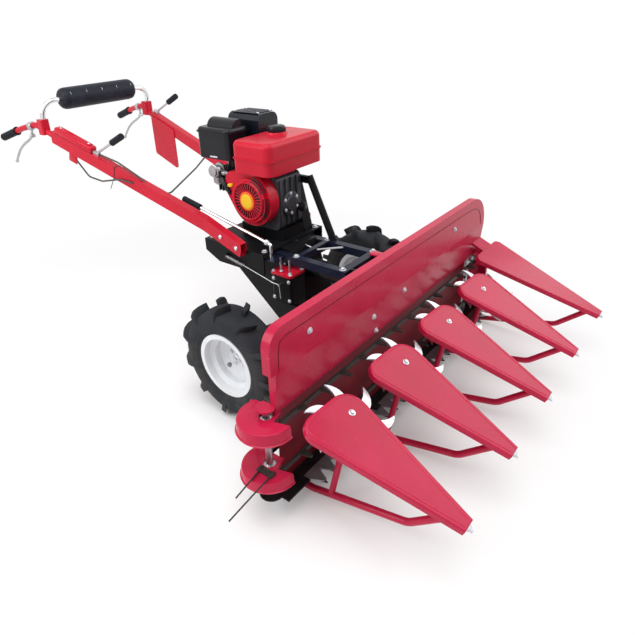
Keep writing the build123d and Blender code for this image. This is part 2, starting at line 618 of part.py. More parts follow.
def clutch_lever(side):
    """A clamp on the handle tube with the flat blade that hangs below the grip."""
    rise, root = Vector(*side_point(HANDLE_RISE, side)), Vector(*side_point(GRIP_ROOT, side))
    along = (root - rise).normalized()
    seat = (rise + root) / 2
    half = CLUTCH_CLAMP / 2
    ring = rod(seat - along * half, seat + along * half, HANDLE_TUBE_RADIUS + CLUTCH_CLAMP_WALL)
    view = band((seat.X, seat.Z - HANDLE_TUBE_RADIUS), (seat.X, seat.Z - CLUTCH_DROP / 2),
                (seat.X, seat.Z - CLUTCH_DROP - CLUTCH_BLADE), CLUTCH_BLADE)
    pivot = (seat.X + CLUTCH_BLADE, seat.Z - CLUTCH_DROP)
    knee = (seat.X + CLUTCH_KNEE[0], seat.Z + CLUTCH_KNEE[1])
    tip = (seat.X + CLUTCH_TIP[0], seat.Z + CLUTCH_TIP[1])
    view += band(pivot, knee, tip, CLUTCH_BLADE)
    blade = Pos(0, seat.Y, 0) * extrude(Plane.XZ * view, amount=CLUTCH_THICKNESS / 2, both=True)
    bore = rod(seat - along * CLUTCH_CLAMP, seat + along * CLUTCH_CLAMP, HANDLE_TUBE_RADIUS + FIT)
    return (ring + blade) - bore


def bar_foot(side):
    """Where the roll's bar stands on a handle's tube."""
    top, rise = Vector(*side_point(HANDLE_TOP, side)), Vector(*side_point(HANDLE_RISE, side))
    return top + (rise - top) * BAR_SHARE


def handle_bar():
    """The bent bar that rises from both handles and carries the roll."""
    right, left = bar_foot(-1), bar_foot(1)
    corners = [(PAD_X, right.Y, PAD_Z), (PAD_X, left.Y, PAD_Z)]
    bar = bent_tube([right, *corners, left], BAR_RADIUS, [BAR_BEND, BAR_BEND])
    for side in SIDES.values():
        bar -= handle(side)
    return bar


def bar_clamp(side):
    """The block that clamps the bar's foot to a handle's tube."""
    length, width, height = BAR_CLAMP
    foot = bar_foot(side)
    low = foot.Z - HANDLE_TUBE_RADIUS - CLUTCH_CLAMP_WALL
    clamp = block(foot.X - length / 2, foot.X + length / 2, foot.Y - width / 2, foot.Y + width / 2, low, low + height)
    clamp = fillet(clamp.edges().filter_by(Axis.Z), 8)
    return clamp - handle(side) - handle_bar()


def hand_roll():
    """The padded roll on the bar."""
    half = PAD_LENGTH / 2
    roll = rod((PAD_X, -half, PAD_Z), (PAD_X, half, PAD_Z), PAD_RADIUS)
    roll = fillet(roll.edges().filter_by(GeomType.CIRCLE), 24)
    return roll - rod((PAD_X, -half - 5, PAD_Z), (PAD_X, half + 5, PAD_Z), BAR_RADIUS + FIT)


# Header

def panel_block(inset, back):
    """The panel's outline from its face back to a plane: upright above the crease, leaning back below it."""
    low, high, face = PANEL_BOTTOM_Z + inset, PANEL_TOP_Z - inset, PANEL_FACE_X - inset
    right, left = PANEL_RIGHT_Y + inset, PANEL_LEFT_Y - inset
    front = Polygon((right, high), (left, high), (left, low), (right + PANEL_STEP, low),
                    (right + PANEL_STEP, PANEL_STEP_Z + inset), (right, PANEL_STEP_Z + inset), align=None)
    front = fillet(front.vertices().group_by(Axis.Y)[-1].sort_by(Axis.X)[0], PANEL_CORNERS[0] - inset)
    front = fillet(front.vertices().group_by(Axis.Y)[-1].sort_by(Axis.X)[-1], PANEL_CORNERS[1] - inset)
    section = Polygon((back, low), (face - PANEL_LEAN, low), (face, PANEL_CREASE_Z), (face, high), (back, high),
                      align=None)
    solid = extrude(Plane.YZ.offset(back) * front, amount=face - back, dir=(1, 0, 0))
    return solid & extrude(Plane.XZ * section, amount=PANEL_LEFT_Y - PANEL_RIGHT_Y, both=True)


def panel():
    """The upper panel: a creased pan, open at the back, with a bearing ear and the last divider's lug."""
    back = PANEL_FACE_X - PANEL_DEPTH
    pan = panel_block(0.0, back) - panel_block(SHEET, back)
    ear_z = PANEL_BOTTOM_Z + EAR_LIFT
    ear = upright(CONVEYOR_X, SPROCKET_RIGHT_Y, ear_z, ear_z + SHEET * 2, EAR_RADIUS)
    ear -= block(back - 2 * EAR_RADIUS, PANEL_FACE_X, PANEL_RIGHT_Y + PANEL_STEP + SHEET / 2, 0, ear_z, PANEL_TOP_Z)
    length, width, thickness = END_LUG
    lug = block(END_DIVIDER_BACK - length, END_DIVIDER_BACK, -width, 0, -DIVIDER_FLANGE + 1, -DIVIDER_FLANGE + 1 + thickness)
    lug = divider_plane(divider_y(DIVIDERS - 1)) * lug - panel_block(0.0, back - length)
    return pan + ear + lug


def header_beam():
    """The square tube inside the panel and the two lugs that hold the header to the front frame."""
    x1 = PANEL_FACE_X - SHEET
    x0 = x1 - RAIL
    low = RAIL_TOP_Z - RAIL
    beam = block(x0, x1, -430, 470, low, RAIL_TOP_Z)
    beam -= block(x0 + 3, x1 - 3, -440, 480, low + 3, RAIL_TOP_Z - 3)
    for side in SIDES.values():
        y = side * (GEARBOX_HALF_WIDTH - 8)
        beam += block(FRAME_FRONT_X, x0 + 1, y - 5, y + 5, low, RAIL_TOP_Z)
    return beam


def back_plate():
    """The upright plate between the two strands of the conveyor."""
    y0 = SPROCKET_RIGHT_Y + GUARD_FLAT + FIT + CHAIN_THICKNESS
    y1 = SPROCKET_LEFT_Y - CHAIN_INNER_RADIUS - 10
    back = CONVEYOR_X - BACK_PLATE / 2
    plate = block(back, back + BACK_PLATE, y0, y1, DECK_TOP_Z, PANEL_BOTTOM_Z)
    return plate + block(back, back + BACK_FLANGE, y0, y1, PANEL_BOTTOM_Z - BACK_PLATE, PANEL_BOTTOM_Z)


def cutter_deck():
    """The deck with a row of pointed fingers and a tab for the guards' bar."""
    low = DECK_TOP_Z - DECK_SHEET
    y1 = SPROCKET_LEFT_Y + GUARD_RADIUS
    deck = block(DECK_BACK_X, DECK_FRONT_X, SPROCKET_RIGHT_Y, y1, low, DECK_TOP_Z)
    deck += upright(CONVEYOR_X, SPROCKET_RIGHT_Y, low, DECK_TOP_Z, DECK_END_RADIUS)
    bar_x, bar_y = GUARD_BAR_X, SPROCKET_RIGHT_Y + GUARD_BAR_Y
    deck += block(bar_x - GUARD_BAR_TAB, DECK_BACK_X, bar_y - GUARD_BAR_TAB, bar_y + GUARD_BAR_TAB, low, DECK_TOP_Z)
    for number in range(KNIFE_SECTIONS):
        y = HEADER_MIDDLE_Y + (number - (KNIFE_SECTIONS - 1) / 2) * KNIFE_PITCH
        finger = Polygon((DECK_FRONT_X - 2, y - 9), (DECK_FRONT_X + 30, y - 6), (DECK_FRONT_X + 46, y),
                         (DECK_FRONT_X + 30, y + 6), (DECK_FRONT_X - 2, y + 9), align=None)
        deck += extrude(Pos(0, 0, low) * finger, amount=DECK_SHEET, dir=(0, 0, 1))
    return deck


def knife():
    """The knife: a strip with triangular sections, free to slide along the deck."""
    z0 = DECK_TOP_Z + FIT
    x1 = DECK_FRONT_X
    half = KNIFE_SECTIONS * KNIFE_PITCH / 2
    outline = [(x1 - KNIFE_STRIP, HEADER_MIDDLE_Y - half), (x1 - KNIFE_STRIP, HEADER_MIDDLE_Y + half)]
    for number in range(KNIFE_SECTIONS):
        y = HEADER_MIDDLE_Y + half - number * KNIFE_PITCH
        outline += [(x1, y - 2), (x1 + KNIFE_TOOTH, y - KNIFE_PITCH / 2 + 5),
                    (x1 + KNIFE_TOOTH, y - KNIFE_PITCH / 2 - 5), (x1, y - KNIFE_PITCH + 2)]
    return extrude(Pos(0, 0, z0) * Polygon(*outline, align=None), amount=KNIFE_THICKNESS, dir=(0, 0, 1))


CLIPS = 5


def knife_clips():
    """Bent clips that hold the knife's strip down on the deck."""
    clips = []
    low = DECK_TOP_Z + FIT + KNIFE_THICKNESS + FIT
    x1 = DECK_FRONT_X
    back = CONVEYOR_X + BACK_PLATE / 2 + 3
    for number in range(CLIPS):
        y = HEADER_MIDDLE_Y + (number - (CLIPS - 1) / 2) * DIVIDER_PITCH * 0.8
        foot = block(back, x1 - KNIFE_STRIP - 2 * FIT, y - 14, y + 14, DECK_TOP_Z, low + 5)
        arm = block(x1 - KNIFE_STRIP - 2 * FIT, x1 - 4, y - 14, y + 14, low, low + 5)
        clips.append(foot + arm)
    return Compound(clips)


def loop_outline(radius):
    """A stadium round both sprocket axes."""
    span = SPROCKET_LEFT_Y - SPROCKET_RIGHT_Y
    middle = (SPROCKET_LEFT_Y + SPROCKET_RIGHT_Y) / 2
    return Pos(CONVEYOR_X, middle) * Rot(0, 0, 90) * SlotCenterToCenter(span, 2 * radius)


def conveyor(z):
    """One lugged chain, as a closed loop."""
    outer = CHAIN_INNER_RADIUS + CHAIN_THICKNESS
    ring = loop_outline(outer) - loop_outline(CHAIN_INNER_RADIUS)
    chain = extrude(Pos(0, 0, z - CHAIN_HEIGHT / 2) * ring, amount=CHAIN_HEIGHT)
    span = SPROCKET_LEFT_Y - SPROCKET_RIGHT_Y
    turn = pi * outer
    count = round((2 * span + 2 * turn) / CHAIN_LUG_PITCH)
    lug = Polygon((-2, -13), (CHAIN_LUG_LENGTH, -4), (CHAIN_LUG_LENGTH, 4), (-2, 13), align=None)
    lug = extrude(Pos(0, 0, -2.5) * lug, amount=5, dir=(0, 0, 1))
    lugs = []
    for number in range(count):
        s = number * (2 * span + 2 * turn) / count
        if s < span:
            x, y, angle = CONVEYOR_X + outer, SPROCKET_RIGHT_Y + s, 0
        elif s < span + turn:
            angle = degrees((s - span) / outer)
            x = CONVEYOR_X + outer * cos(radians(angle))
            y = SPROCKET_LEFT_Y + outer * sin(radians(angle))
        elif s < 2 * span + turn:
            x, y, angle = CONVEYOR_X - outer, SPROCKET_LEFT_Y - (s - span - turn), 180
        else:
            angle = 180 + degrees((s - 2 * span - turn) / outer)
            x = CONVEYOR_X + outer * cos(radians(angle))
            y = SPROCKET_RIGHT_Y + outer * sin(radians(angle))
        lugs.append(Pos(x, y, z) * Rot(0, 0, angle) * lug)
    return chain.fuse(*lugs)


def sprocket_shaft(y, top):
    """An upright shaft with the two sprockets that a pair of chains runs on."""
    shaft = upright(CONVEYOR_X, y, DECK_TOP_Z, top, SHAFT_RADIUS)
    for z in (UPPER_CHAIN_Z, LOWER_CHAIN_Z):
        shaft += upright(CONVEYOR_X, y, z - 4, z + 4, CHAIN_INNER_RADIUS - FIT)
        shaft += upright(CONVEYOR_X, y, z - SPROCKET_HUB, z + SPROCKET_HUB, SHAFT_RADIUS + 10)
    return shaft


GUARD_PLATES = (140.0, 168.0, 297.0, 330.0)
GUARD_SHEET = 3.0
GUARD_BAR_ANGLES = (-40, -140)


def discharge_guards():
    """Half round plates above and below each chain's right turn, on a bar from the deck."""
    reach = 2 * GUARD_RADIUS
    half_round = Circle(GUARD_RADIUS) - Pos(0, GUARD_RADIUS + GUARD_FLAT) * Rectangle(2 * reach, reach)
    apex_x, apex_y = GUARD_NOTCH
    notch = Polygon((apex_x, apex_y), (reach, GUARD_FLAT), (reach, reach), (apex_x - SHAFT_RADIUS, reach), align=None)
    outline = Pos(CONVEYOR_X, SPROCKET_RIGHT_Y) * (half_round - notch - Circle(SHAFT_RADIUS + GUARD_BAR_RADIUS))
    guards = None
    for z in GUARD_PLATES:
        plate = extrude(Pos(0, 0, z) * outline, amount=GUARD_SHEET, dir=(0, 0, 1))
        guards = plate if guards is None else guards + plate
    reach = GUARD_RADIUS - GUARD_BAR_RADIUS - 1
    for angle in GUARD_BAR_ANGLES:
        x = CONVEYOR_X + reach * cos(radians(angle))
        y = SPROCKET_RIGHT_Y + reach * sin(radians(angle))
        guards += upright(x, y, GUARD_PLATES[0] + 1, GUARD_PLATES[-1] + 1, GUARD_BAR_RADIUS)
    bar_y = SPROCKET_RIGHT_Y + GUARD_BAR_Y
    return guards + upright(GUARD_BAR_X, bar_y, DECK_TOP_Z, GUARD_PLATES[-1] + 1, GUARD_BAR_RADIUS)


ROD_RADIUS = 4.0
RODS = (  # root and tip of each, from the right sprocket axis
    (-3, -22, 16, -147),
    (36, -20, 46, -182),
)
ROD_TAB = (-10.0, 44.0, -44.0, -24.0)
ROD_TAB_SHEET = 5.0


def discharge_rods():
    """Two round rods on a tab that lead the cut crop away to the side."""
    z = GUARD_PLATES[1] + GUARD_SHEET
    x0, x1, y0, y1 = ROD_TAB
    tab = block(x0, x1, y0, y1, z, z + ROD_TAB_SHEET)
    for root_x, root_y, tip_x, tip_y0 in RODS:
        tab += rod((root_x, root_y, z + ROD_RADIUS), (tip_x, tip_y0, z + ROD_RADIUS), ROD_RADIUS)
    return Pos(CONVEYOR_X, SPROCKET_RIGHT_Y, 0) * tab


def end_guard():
    """The curved sheet round the left sprockets."""
    ring = Circle(GUARD_RADIUS) - Circle(GUARD_RADIUS - SHEET)
    ring -= Pos(0, -GUARD_RADIUS) * Rectangle(3 * GUARD_RADIUS, 2 * GUARD_RADIUS)
    sheet = extrude(Pos(CONVEYOR_X, SPROCKET_LEFT_Y, DECK_TOP_Z) * ring, amount=PANEL_BOTTOM_Z - DECK_TOP_Z)
    return sheet - block(DECK_FRONT_X - KNIFE_STRIP - KNIFE_GAP, CONVEYOR_X + GUARD_RADIUS, SPROCKET_LEFT_Y,
                         SPROCKET_LEFT_Y + GUARD_RADIUS, DECK_TOP_Z, DECK_TOP_Z + FIT + KNIFE_THICKNESS + KNIFE_GAP)


# Dividers, star wheels and skids

def divider_y(number):
    """Middle of a divider, counted from the right."""
    return HEADER_MIDDLE_Y + (number - (DIVIDERS - 1) / 2) * DIVIDER_PITCH


def divider_plane(y):
    """Plane of a divider's top: X runs down to the tip, Z stands on the sheet."""
    slope = radians(DIVIDER_SLOPE)
    return Plane(origin=(BOLT_X, y, BOLT_Z), x_dir=(cos(slope), 0, -sin(slope)),
                 z_dir=(sin(slope), 0, cos(slope)))


END_DIVIDER_BACK = -112.0
END_DIVIDER_INNER = -180.0
END_DIVIDER_OUTER = 48.0


def divider_outline(last, inset=0.0):
    """Two round back corners that narrow to the tip; the last one has a straight outer edge."""
    tip = DIVIDER_TIP_WIDTH / 2
    if last:
        shape = Polygon((END_DIVIDER_BACK, END_DIVIDER_INNER), (DIVIDER_LENGTH, END_DIVIDER_OUTER - 2 * tip),
                        (DIVIDER_LENGTH, END_DIVIDER_OUTER), (END_DIVIDER_BACK, END_DIVIDER_OUTER), align=None)
        shape = fillet(shape.vertices().group_by(Axis.X)[0], 26)
        return offset(shape, -inset, kind=Kind.INTERSECTION) if inset else shape
    right, left = (Pos(x, y) * Circle(radius - inset) for x, y, radius in DIVIDER_SHOULDERS)
    end, half = DIVIDER_LENGTH - inset, tip - inset
    nose = Polygon((end - 1, -half), (end, -half), (end, half), (end - 1, half), align=None)
    return make_hull(right.edges() + left.edges() + nose.edges())


def divider(number):
    """A sheet with its edge turned down all round."""
    last = number == DIVIDERS - 1
    outline = divider_outline(last)
    plane = divider_plane(divider_y(number))
    pan = extrude(outline, amount=DIVIDER_FLANGE, dir=(0, 0, -1))
    pan = fillet(pan.faces().sort_by(Axis.Z)[-1].edges(), 4)
    inside = divider_outline(last, SHEET)
    pan -= extrude(Pos(0, 0, -SHEET) * inside, amount=DIVIDER_FLANGE, dir=(0, 0, -1))
    return plane * pan


def tip_y(number):
    """Middle of a divider's tip across the sheet."""
    return END_DIVIDER_OUTER - DIVIDER_TIP_WIDTH / 2 if number == DIVIDERS - 1 else 0.0


def nose_stud(number):
    """The threaded stud at a divider's tip."""
    start = (DIVIDER_LENGTH, tip_y(number), -DIVIDER_FLANGE / 2 - 1)
    end = (DIVIDER_LENGTH + STUD_LENGTH, start[1], start[2])
    return divider_plane(divider_y(number)) * rod(start, end, STUD_RADIUS)


HUB_LENGTH = 26.0
COLLAR = 5.0


def under_sheet(number):
    """Plane of the lower side of a divider's sheet."""
    plane = divider_plane(divider_y(number))
    return Plane(plane.origin - plane.z_dir * SHEET, x_dir=plane.x_dir, z_dir=plane.z_dir)


def skid(number):
    """A bent tube from the deck over the ground up to the divider's tip."""
    plane = divider_plane(divider_y(number))
    y = divider_y(number) + tip_y(number)
    low = DECK_TOP_Z - DECK_SHEET
    back = DECK_BACK_X + SKID_INSET
    nose = plane.from_local_coords((DIVIDER_LENGTH - SKID_INSET, tip_y(number), DIVIDER_FLANGE))
    path = [(back, y, low), (back, y, SKID_RADIUS), (SKID_LIFT_X, y, SKID_RADIUS),
            (SKID_KNEE[0], y, SKID_KNEE[1]), (nose.X, nose.Y, nose.Z)]
    return split(bent_tube(path, SKID_RADIUS, SKID_BENDS), under_sheet(number), keep=Keep.BOTTOM)


def star_post(number):
    """The post that stands on the skid: under the sheet it ends in the star wheel's pin."""
    plane = divider_plane(divider_y(number))
    foot = (POST_FOOT_X, divider_y(number), POST_FOOT_Z)
    post = rod(foot, plane.from_local_coords((*STAR_AXIS, -POST_TOP_DROP)), SKID_RADIUS - 1)
    collar_top = -STAR_DROP - HUB_LENGTH / 2 - FIT
    sleeve_foot = -POST_TOP_DROP - PIN_RADIUS
    pin = rod((0, 0, sleeve_foot), (0, 0, -SHEET), PIN_RADIUS)
    pin += rod((0, 0, collar_top - COLLAR), (0, 0, collar_top), PIN_RADIUS + COLLAR + 1)
    pin += rod((0, 0, sleeve_foot), (0, 0, collar_top - COLLAR), PIN_RADIUS + COLLAR / 2)
    return post + plane * Pos(*STAR_AXIS, 0) * pin - skid(number)


def star_wheel(number):
    """A disc with hooked tines that turns on the divider's pin."""
    tine = make_face(Wire([
        Line((0, -17), (70, -20)),
        ThreePointArc((70, -20), (110, -8), (STAR_RADIUS, 26)),
        ThreePointArc((STAR_RADIUS, 26), (100, 12), (62, 14)),
        Line((62, 14), (0, 17)),
        Line((0, 17), (0, -17)),
    ]))
    shape = Circle(STAR_DISC_RADIUS)
    for turn in range(STAR_TINES):
        shape += Rot(0, 0, turn * 360 / STAR_TINES) * tine
    disc = extrude(Pos(0, 0, -STAR_THICKNESS / 2) * shape, amount=STAR_THICKNESS)
    disc += Cylinder(STAR_HUB_RADIUS, HUB_LENGTH)
    disc -= Cylinder(PIN_RADIUS + RUN, HUB_LENGTH * 3)
    return divider_plane(divider_y(number)) * Pos(*STAR_AXIS, -STAR_DROP) * disc


# Controls

SHIFT_ROD = 6.0
SHIFT_TURN_Z = 541.0
SHIFT_KNEE = (-92.0, 552.0)
SHIFT_END = (-400.0, 616.0)
SHIFT_GRIP = 92.0


def shift_line():
    """Knee and end of the gear lever's long run."""
    return Vector(SHIFT_KNEE[0], -LEVER_Y, SHIFT_KNEE[1]), Vector(SHIFT_END[0], -LEVER_Y, SHIFT_END[1])


def shift_lever():
    """The plated gear lever."""
    knee, end = shift_line()
    points = [(LEVER_X, -LEVER_Y, LEVER_FOOT_Z), (LEVER_X, -LEVER_Y, SHIFT_TURN_Z), knee, end]
    return bent_tube(points, SHIFT_ROD, [10, 60])


def lever_grips():
    """Black grips of the gear lever and of the two control levers."""
    knee, end = shift_line()
    grips = [rod(end, end + (end - knee).normalized() * SHIFT_GRIP, 2 * SHIFT_ROD)]
    for side in SIDES.values():
        foot, tip = control_line(side)
        along = (tip - foot).normalized()
        grips.append(rod(tip, tip + along * 72, 13))
    return Compound(grips)


def handle_plane(side, back):
    """Plane on top of a handle, this far down from its upper end: X runs forward along it."""
    top = Vector(*side_point(HANDLE_TOP, side))
    along = (Vector(*side_point(HANDLE_BEND, side)) - top).normalized()
    up = Vector(-along.Z, 0, along.X).normalized()
    return Plane(origin=top + along * back + up * HANDLE_HEIGHT / 2, x_dir=along, z_dir=up)


CONTROL_BACK = {-1: 275.0, 1: 24.0}   # place of each control lever along its handle
CONTROL_FOOT = 14.0
CONTROL_BASE = 34.0
CONTROL_REACH = 92.0
CONTROL_RISE = 84.0


def control_line(side):
    """Foot and top of a control lever's rod."""
    plane = handle_plane(side, CONTROL_BACK[side])
    foot = plane.from_local_coords((0, 0, CONTROL_FOOT / 2))
    tip = plane.from_local_coords((CONTROL_REACH, 0, CONTROL_FOOT / 2 + CONTROL_RISE))
    return Vector(foot), Vector(tip)


def control_levers():
    """The rods of the two control levers, each on a small foot."""
    rods = []
    for side in SIDES.values():
        foot, tip = control_line(side)
        ends = (Align.CENTER, Align.CENTER, Align.MIN)
        base = handle_plane(side, CONTROL_BACK[side]) * Box(CONTROL_BASE, CONTROL_FOOT, CONTROL_FOOT, align=ends)
        rods.append(rod(foot, tip, 5) + base)
    return Compound(rods)


BOX_START = 20.0           # control box on the right handle, from the handle's end
BOX_HEIGHTS = (36.0, 50.0, 44.0, 30.0)
BOX_WIDTH = 36.0
CABLE_TAB = (100.0, 150.0, 46.0)    # start, end and drop of the tab under the right handle
CABLE_TAB_SHEET = 5.0
CABLE_RADIUS = 3.5


def control_box():
    """The box behind the right control lever and the tab below that holds its cable."""
    end = CONTROL_BACK[-1] - CONTROL_BASE / 2
    first, second, third, last = BOX_HEIGHTS
    view = Polygon((BOX_START, 0), (end, 0), (end, last), (end - BOX_WIDTH, third), (BOX_START + last, second),
                   (BOX_START, first), align=None)
    box = extrude(Plane.XZ * view, amount=BOX_WIDTH / 2, both=True)
    box = fillet(box.edges().filter_by(Axis.Y).group_by(Axis.Z)[-1], 12)
    start, stop, drop = CABLE_TAB
    tab = block(start, stop, -CABLE_TAB_SHEET / 2, CABLE_TAB_SHEET / 2, -HANDLE_HEIGHT - drop, -HANDLE_HEIGHT)
    plane = handle_plane(-1, 0.0)
    return Compound([plane * box, plane * tab])


def cables():
    """Three control cables: one looped under the right handle, one on top of it and one across."""
    plane = handle_plane(-1, 0.0)
    side = -HANDLE_WIDTH / 2 - CABLE_RADIUS - 1
    loop = [(CABLE_TAB[1] - 2, 0, -HANDLE_HEIGHT - 30), (224, 0, -122), (331, side, -90), (431, side, -37),
            (500, side, -20), (530, 0, -20)]
    upper = [(CONTROL_BACK[-1], 0, 8), (400, 0, 20), (530, 0, 8), (600, 0, -20)]
    across = [(-752, 226, 704), (-716, 120, 668), (-606, -120, 634), (-566, -214, 652)]
    runs = [bent_tube([plane.from_local_coords(point) for point in loop], CABLE_RADIUS, [40, 60, 60, 15])]
    runs.append(bent_tube([plane.from_local_coords(point) for point in upper], CABLE_RADIUS, [80, 80]))
    runs.append(bent_tube(across, CABLE_RADIUS, [90, 90]))
    solids = [handle_run(way, 0.0, 0.0) for way in SIDES.values()] + [control_levers(), control_box()]
    for number, run in enumerate(runs):
        for solid in solids:
            run -= solid
        runs[number] = run
    return Compound(runs)


PLATE_LENGTH = 182.0       # hanging plate, along the handle
PLATE_DROP = 178.0


def lever_plate():
    """The plate that hangs on the inner side of the left handle."""
    top, bend = Vector(*HANDLE_TOP), Vector(*HANDLE_BEND)
    level = Vector(bend.X - top.X, bend.Y - top.Y, 0)
    fall = (top.Z - bend.Z) / level.length
    inward = Vector(0, 0, 1).cross(level).normalized() * -1
    if inward.Y > 0:
        inward = inward * -1
    face = Plane(origin=top + inward * HANDLE_WIDTH / 2, x_dir=level, z_dir=inward)
    lift = 1 if face.y_dir.Z > 0 else -1
    start = HANDLE_CAP
    end = start + PLATE_LENGTH
    outline = Polygon((start, lift * (12 - start * fall)), (end, lift * (12 - end * fall)),
                      (end, lift * (-PLATE_DROP - end * fall)), (start, lift * (-PLATE_DROP - start * fall)),
                      align=None)
    return extrude(face * fillet(outline.vertices(), 14), amount=4, dir=inward)


SHAPES = {
    "gearbox": gearbox(),
    "side_gearcase": side_gearcase(),
    "gear_cover": gear_cover(),
    "belt_guard": belt_guard(),
    "engine_bed": engine_bed(),
    "front_frame": front_frame(),
    "engine_stay": engine_stay(),
    "drive_tube": drive_tube(),
    "bevel_case": bevel_case(),
    "engine_block": engine_block(),
    "fan_cover": fan_cover(),
    "starter_disc": starter_disc(),
    "fuel_tank": fuel_tank(),
    "fuel_cap": fuel_cap(),
    "air_cleaner": air_cleaner(),
    "muffler": muffler(),
    "shift_lever": shift_lever(),
    "lever_grips": lever_grips(),
    "control_levers": control_levers(),
    "lever_plate": lever_plate(),
    "control_box": control_box(),
    "cables": cables(),
    "handle_bar": handle_bar(),
    "bar_clamps": Compound([bar_clamp(s) for s in SIDES.values()]),
    "hand_roll": hand_roll(),
    "panel": panel(),
    "header_beam": header_beam(),
    "back_plate": back_plate(),
    "cutter_deck": cutter_deck(),
    "knife": knife(),
    "knife_clips": knife_clips(),
    "conveyor_upper": conveyor(UPPER_CHAIN_Z),
    "conveyor_lower": conveyor(LOWER_CHAIN_Z),
    "sprocket_right": sprocket_shaft(SPROCKET_RIGHT_Y, PANEL_BOTTOM_Z + EAR_LIFT),
    "sprocket_left": sprocket_shaft(SPROCKET_LEFT_Y, PANEL_BOTTOM_Z),
    "discharge_guards": discharge_guards(),
    "discharge_rods": discharge_rods(),
    "end_guard": end_guard(),
    "dividers": Compound([divider(n) for n in range(DIVIDERS)]),
    "nose_studs": Compound([nose_stud(n) for n in range(DIVIDERS)]),
    "skids": Compound([skid(n) for n in range(DIVIDERS)]),
    "star_posts": Compound([star_post(n) for n in range(DIVIDERS - 1)]),
    "handle_grips": Compound([grip(s) for s in SIDES.values()]),
    "clutch_levers": Compound([clutch_lever(s) for s in SIDES.values()]),
}
for name, side in SIDES.items():
    SHAPES["tyre_" + name] = place_wheel(tyre(), side)
    SHAPES["rim_" + name] = place_wheel(rim(), side)
    SHAPES["axle_" + name] = axle(side)
    SHAPES["handle_" + name] = handle(side)
for n in range(DIVIDERS - 1):
    SHAPES["star_wheel_%d" % (n + 1)] = star_wheel(n)

# Move the origin under the middle of the whole outline
BOXES = [shape.bounding_box() for shape in SHAPES.values()]
MIDDLE_X = (min(box.min.X for box in BOXES) + max(box.max.X for box in BOXES)) / 2
MIDDLE_Y = (min(box.min.Y for box in BOXES) + max(box.max.Y for box in BOXES)) / 2
GROUND_Z = min(box.min.Z for box in BOXES)
TO_ORIGIN = Pos(-MIDDLE_X, -MIDDLE_Y, -GROUND_Z)

os.makedirs("parts", exist_ok=True)
for name, shape in SHAPES.items():
    export_step(TO_ORIGIN * shape, "parts/%s.step" % name)
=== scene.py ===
# %% [markdown]
# # A walk-behind mini reaper
# The machine arrives as a set of finished metal pieces, already at their real size and place.
# This lesson dresses them: paint, rubber, plated metal, bolts, springs, rods and tyres.
# Everything is in metres, and a new piece is placed from the pieces that carry it.

# %% Load the frame
import bpy
import json
from math import cos, pi, radians, sin
from mathutils import Matrix, Vector


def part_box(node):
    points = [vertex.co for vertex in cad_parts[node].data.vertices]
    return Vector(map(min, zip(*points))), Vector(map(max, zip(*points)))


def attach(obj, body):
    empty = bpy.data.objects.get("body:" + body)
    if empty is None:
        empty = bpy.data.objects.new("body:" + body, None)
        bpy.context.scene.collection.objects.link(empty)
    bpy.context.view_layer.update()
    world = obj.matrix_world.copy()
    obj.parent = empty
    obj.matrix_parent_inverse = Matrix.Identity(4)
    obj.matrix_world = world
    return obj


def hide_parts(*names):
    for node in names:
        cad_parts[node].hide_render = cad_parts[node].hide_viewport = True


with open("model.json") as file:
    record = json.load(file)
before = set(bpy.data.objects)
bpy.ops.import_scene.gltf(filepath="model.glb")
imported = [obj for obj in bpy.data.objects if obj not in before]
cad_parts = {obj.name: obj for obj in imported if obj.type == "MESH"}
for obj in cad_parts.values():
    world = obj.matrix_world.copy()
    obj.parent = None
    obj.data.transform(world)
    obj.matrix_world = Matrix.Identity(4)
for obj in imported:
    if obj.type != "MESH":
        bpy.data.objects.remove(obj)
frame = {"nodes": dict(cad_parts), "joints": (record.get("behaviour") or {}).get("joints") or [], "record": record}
SCENE = bpy.context.scene
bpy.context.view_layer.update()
NODES = frame["nodes"]
JOINTS = {joint["name"]: joint for joint in frame["joints"]}
print("pieces in the frame:", len(NODES))

# %% [markdown]
# ## A point to measure from
# A mechanic measures this machine from its axle: forward, to the left, and up from the ground.
# The frame's own zero lies under the middle of the whole outline, so one helper turns the
# mechanic's measures into the frame's.

# %% The axle as the zero of all measures
AXLE_RIGHT = Vector(JOINTS["wheel_right_spin"]["pos_m"])
AXLE_LEFT = Vector(JOINTS["wheel_left_spin"]["pos_m"])
ZERO = Vector((AXLE_RIGHT.x, (AXLE_RIGHT.y + AXLE_LEFT.y) / 2, 0))


def at(x, y, z):
    """A point given forward, left and up from the ground under the axle."""
    return ZERO + Vector((x, y, z))


print("axle height:", round(AXLE_RIGHT.z, 3))

# %% [markdown]
# ## Camera
# The photograph looks down on the machine from its right front corner. A camera is three
# directions and a place, so its matrix is written straight from them; the lens shift moves the
# picture in its frame without turning the camera.

# %% Camera
RIGHT = Vector((0.77997, 0.62453, -0.03997))
UP = Vector((-0.24348, 0.36168, 0.89995))
BACK = Vector((0.57651, -0.69220, 0.43416))
PLACE = at(1.2011, -1.4882, 1.2864)
SENSOR_WIDTH = 36
LENS = 31.55
SHIFT = (0.0264, -0.0627)
eye = bpy.data.cameras.new("photo_camera")
eye.sensor_width = SENSOR_WIDTH
eye.lens = LENS
eye.shift_x, eye.shift_y = SHIFT
camera = bpy.data.objects.new("photo_camera", eye)
SCENE.collection.objects.link(camera)
facing = Matrix((RIGHT, UP, BACK)).transposed().to_4x4()
camera.matrix_world = Matrix.Translation(PLACE) @ facing
SCENE.camera = camera
print("camera height:", round(PLACE.z, 3))

# %% [markdown]
# ## Small helpers for nodes
# Most links in a material are of a few kinds, so each kind gets a helper. Every value may be a
# plain number or another node's output.

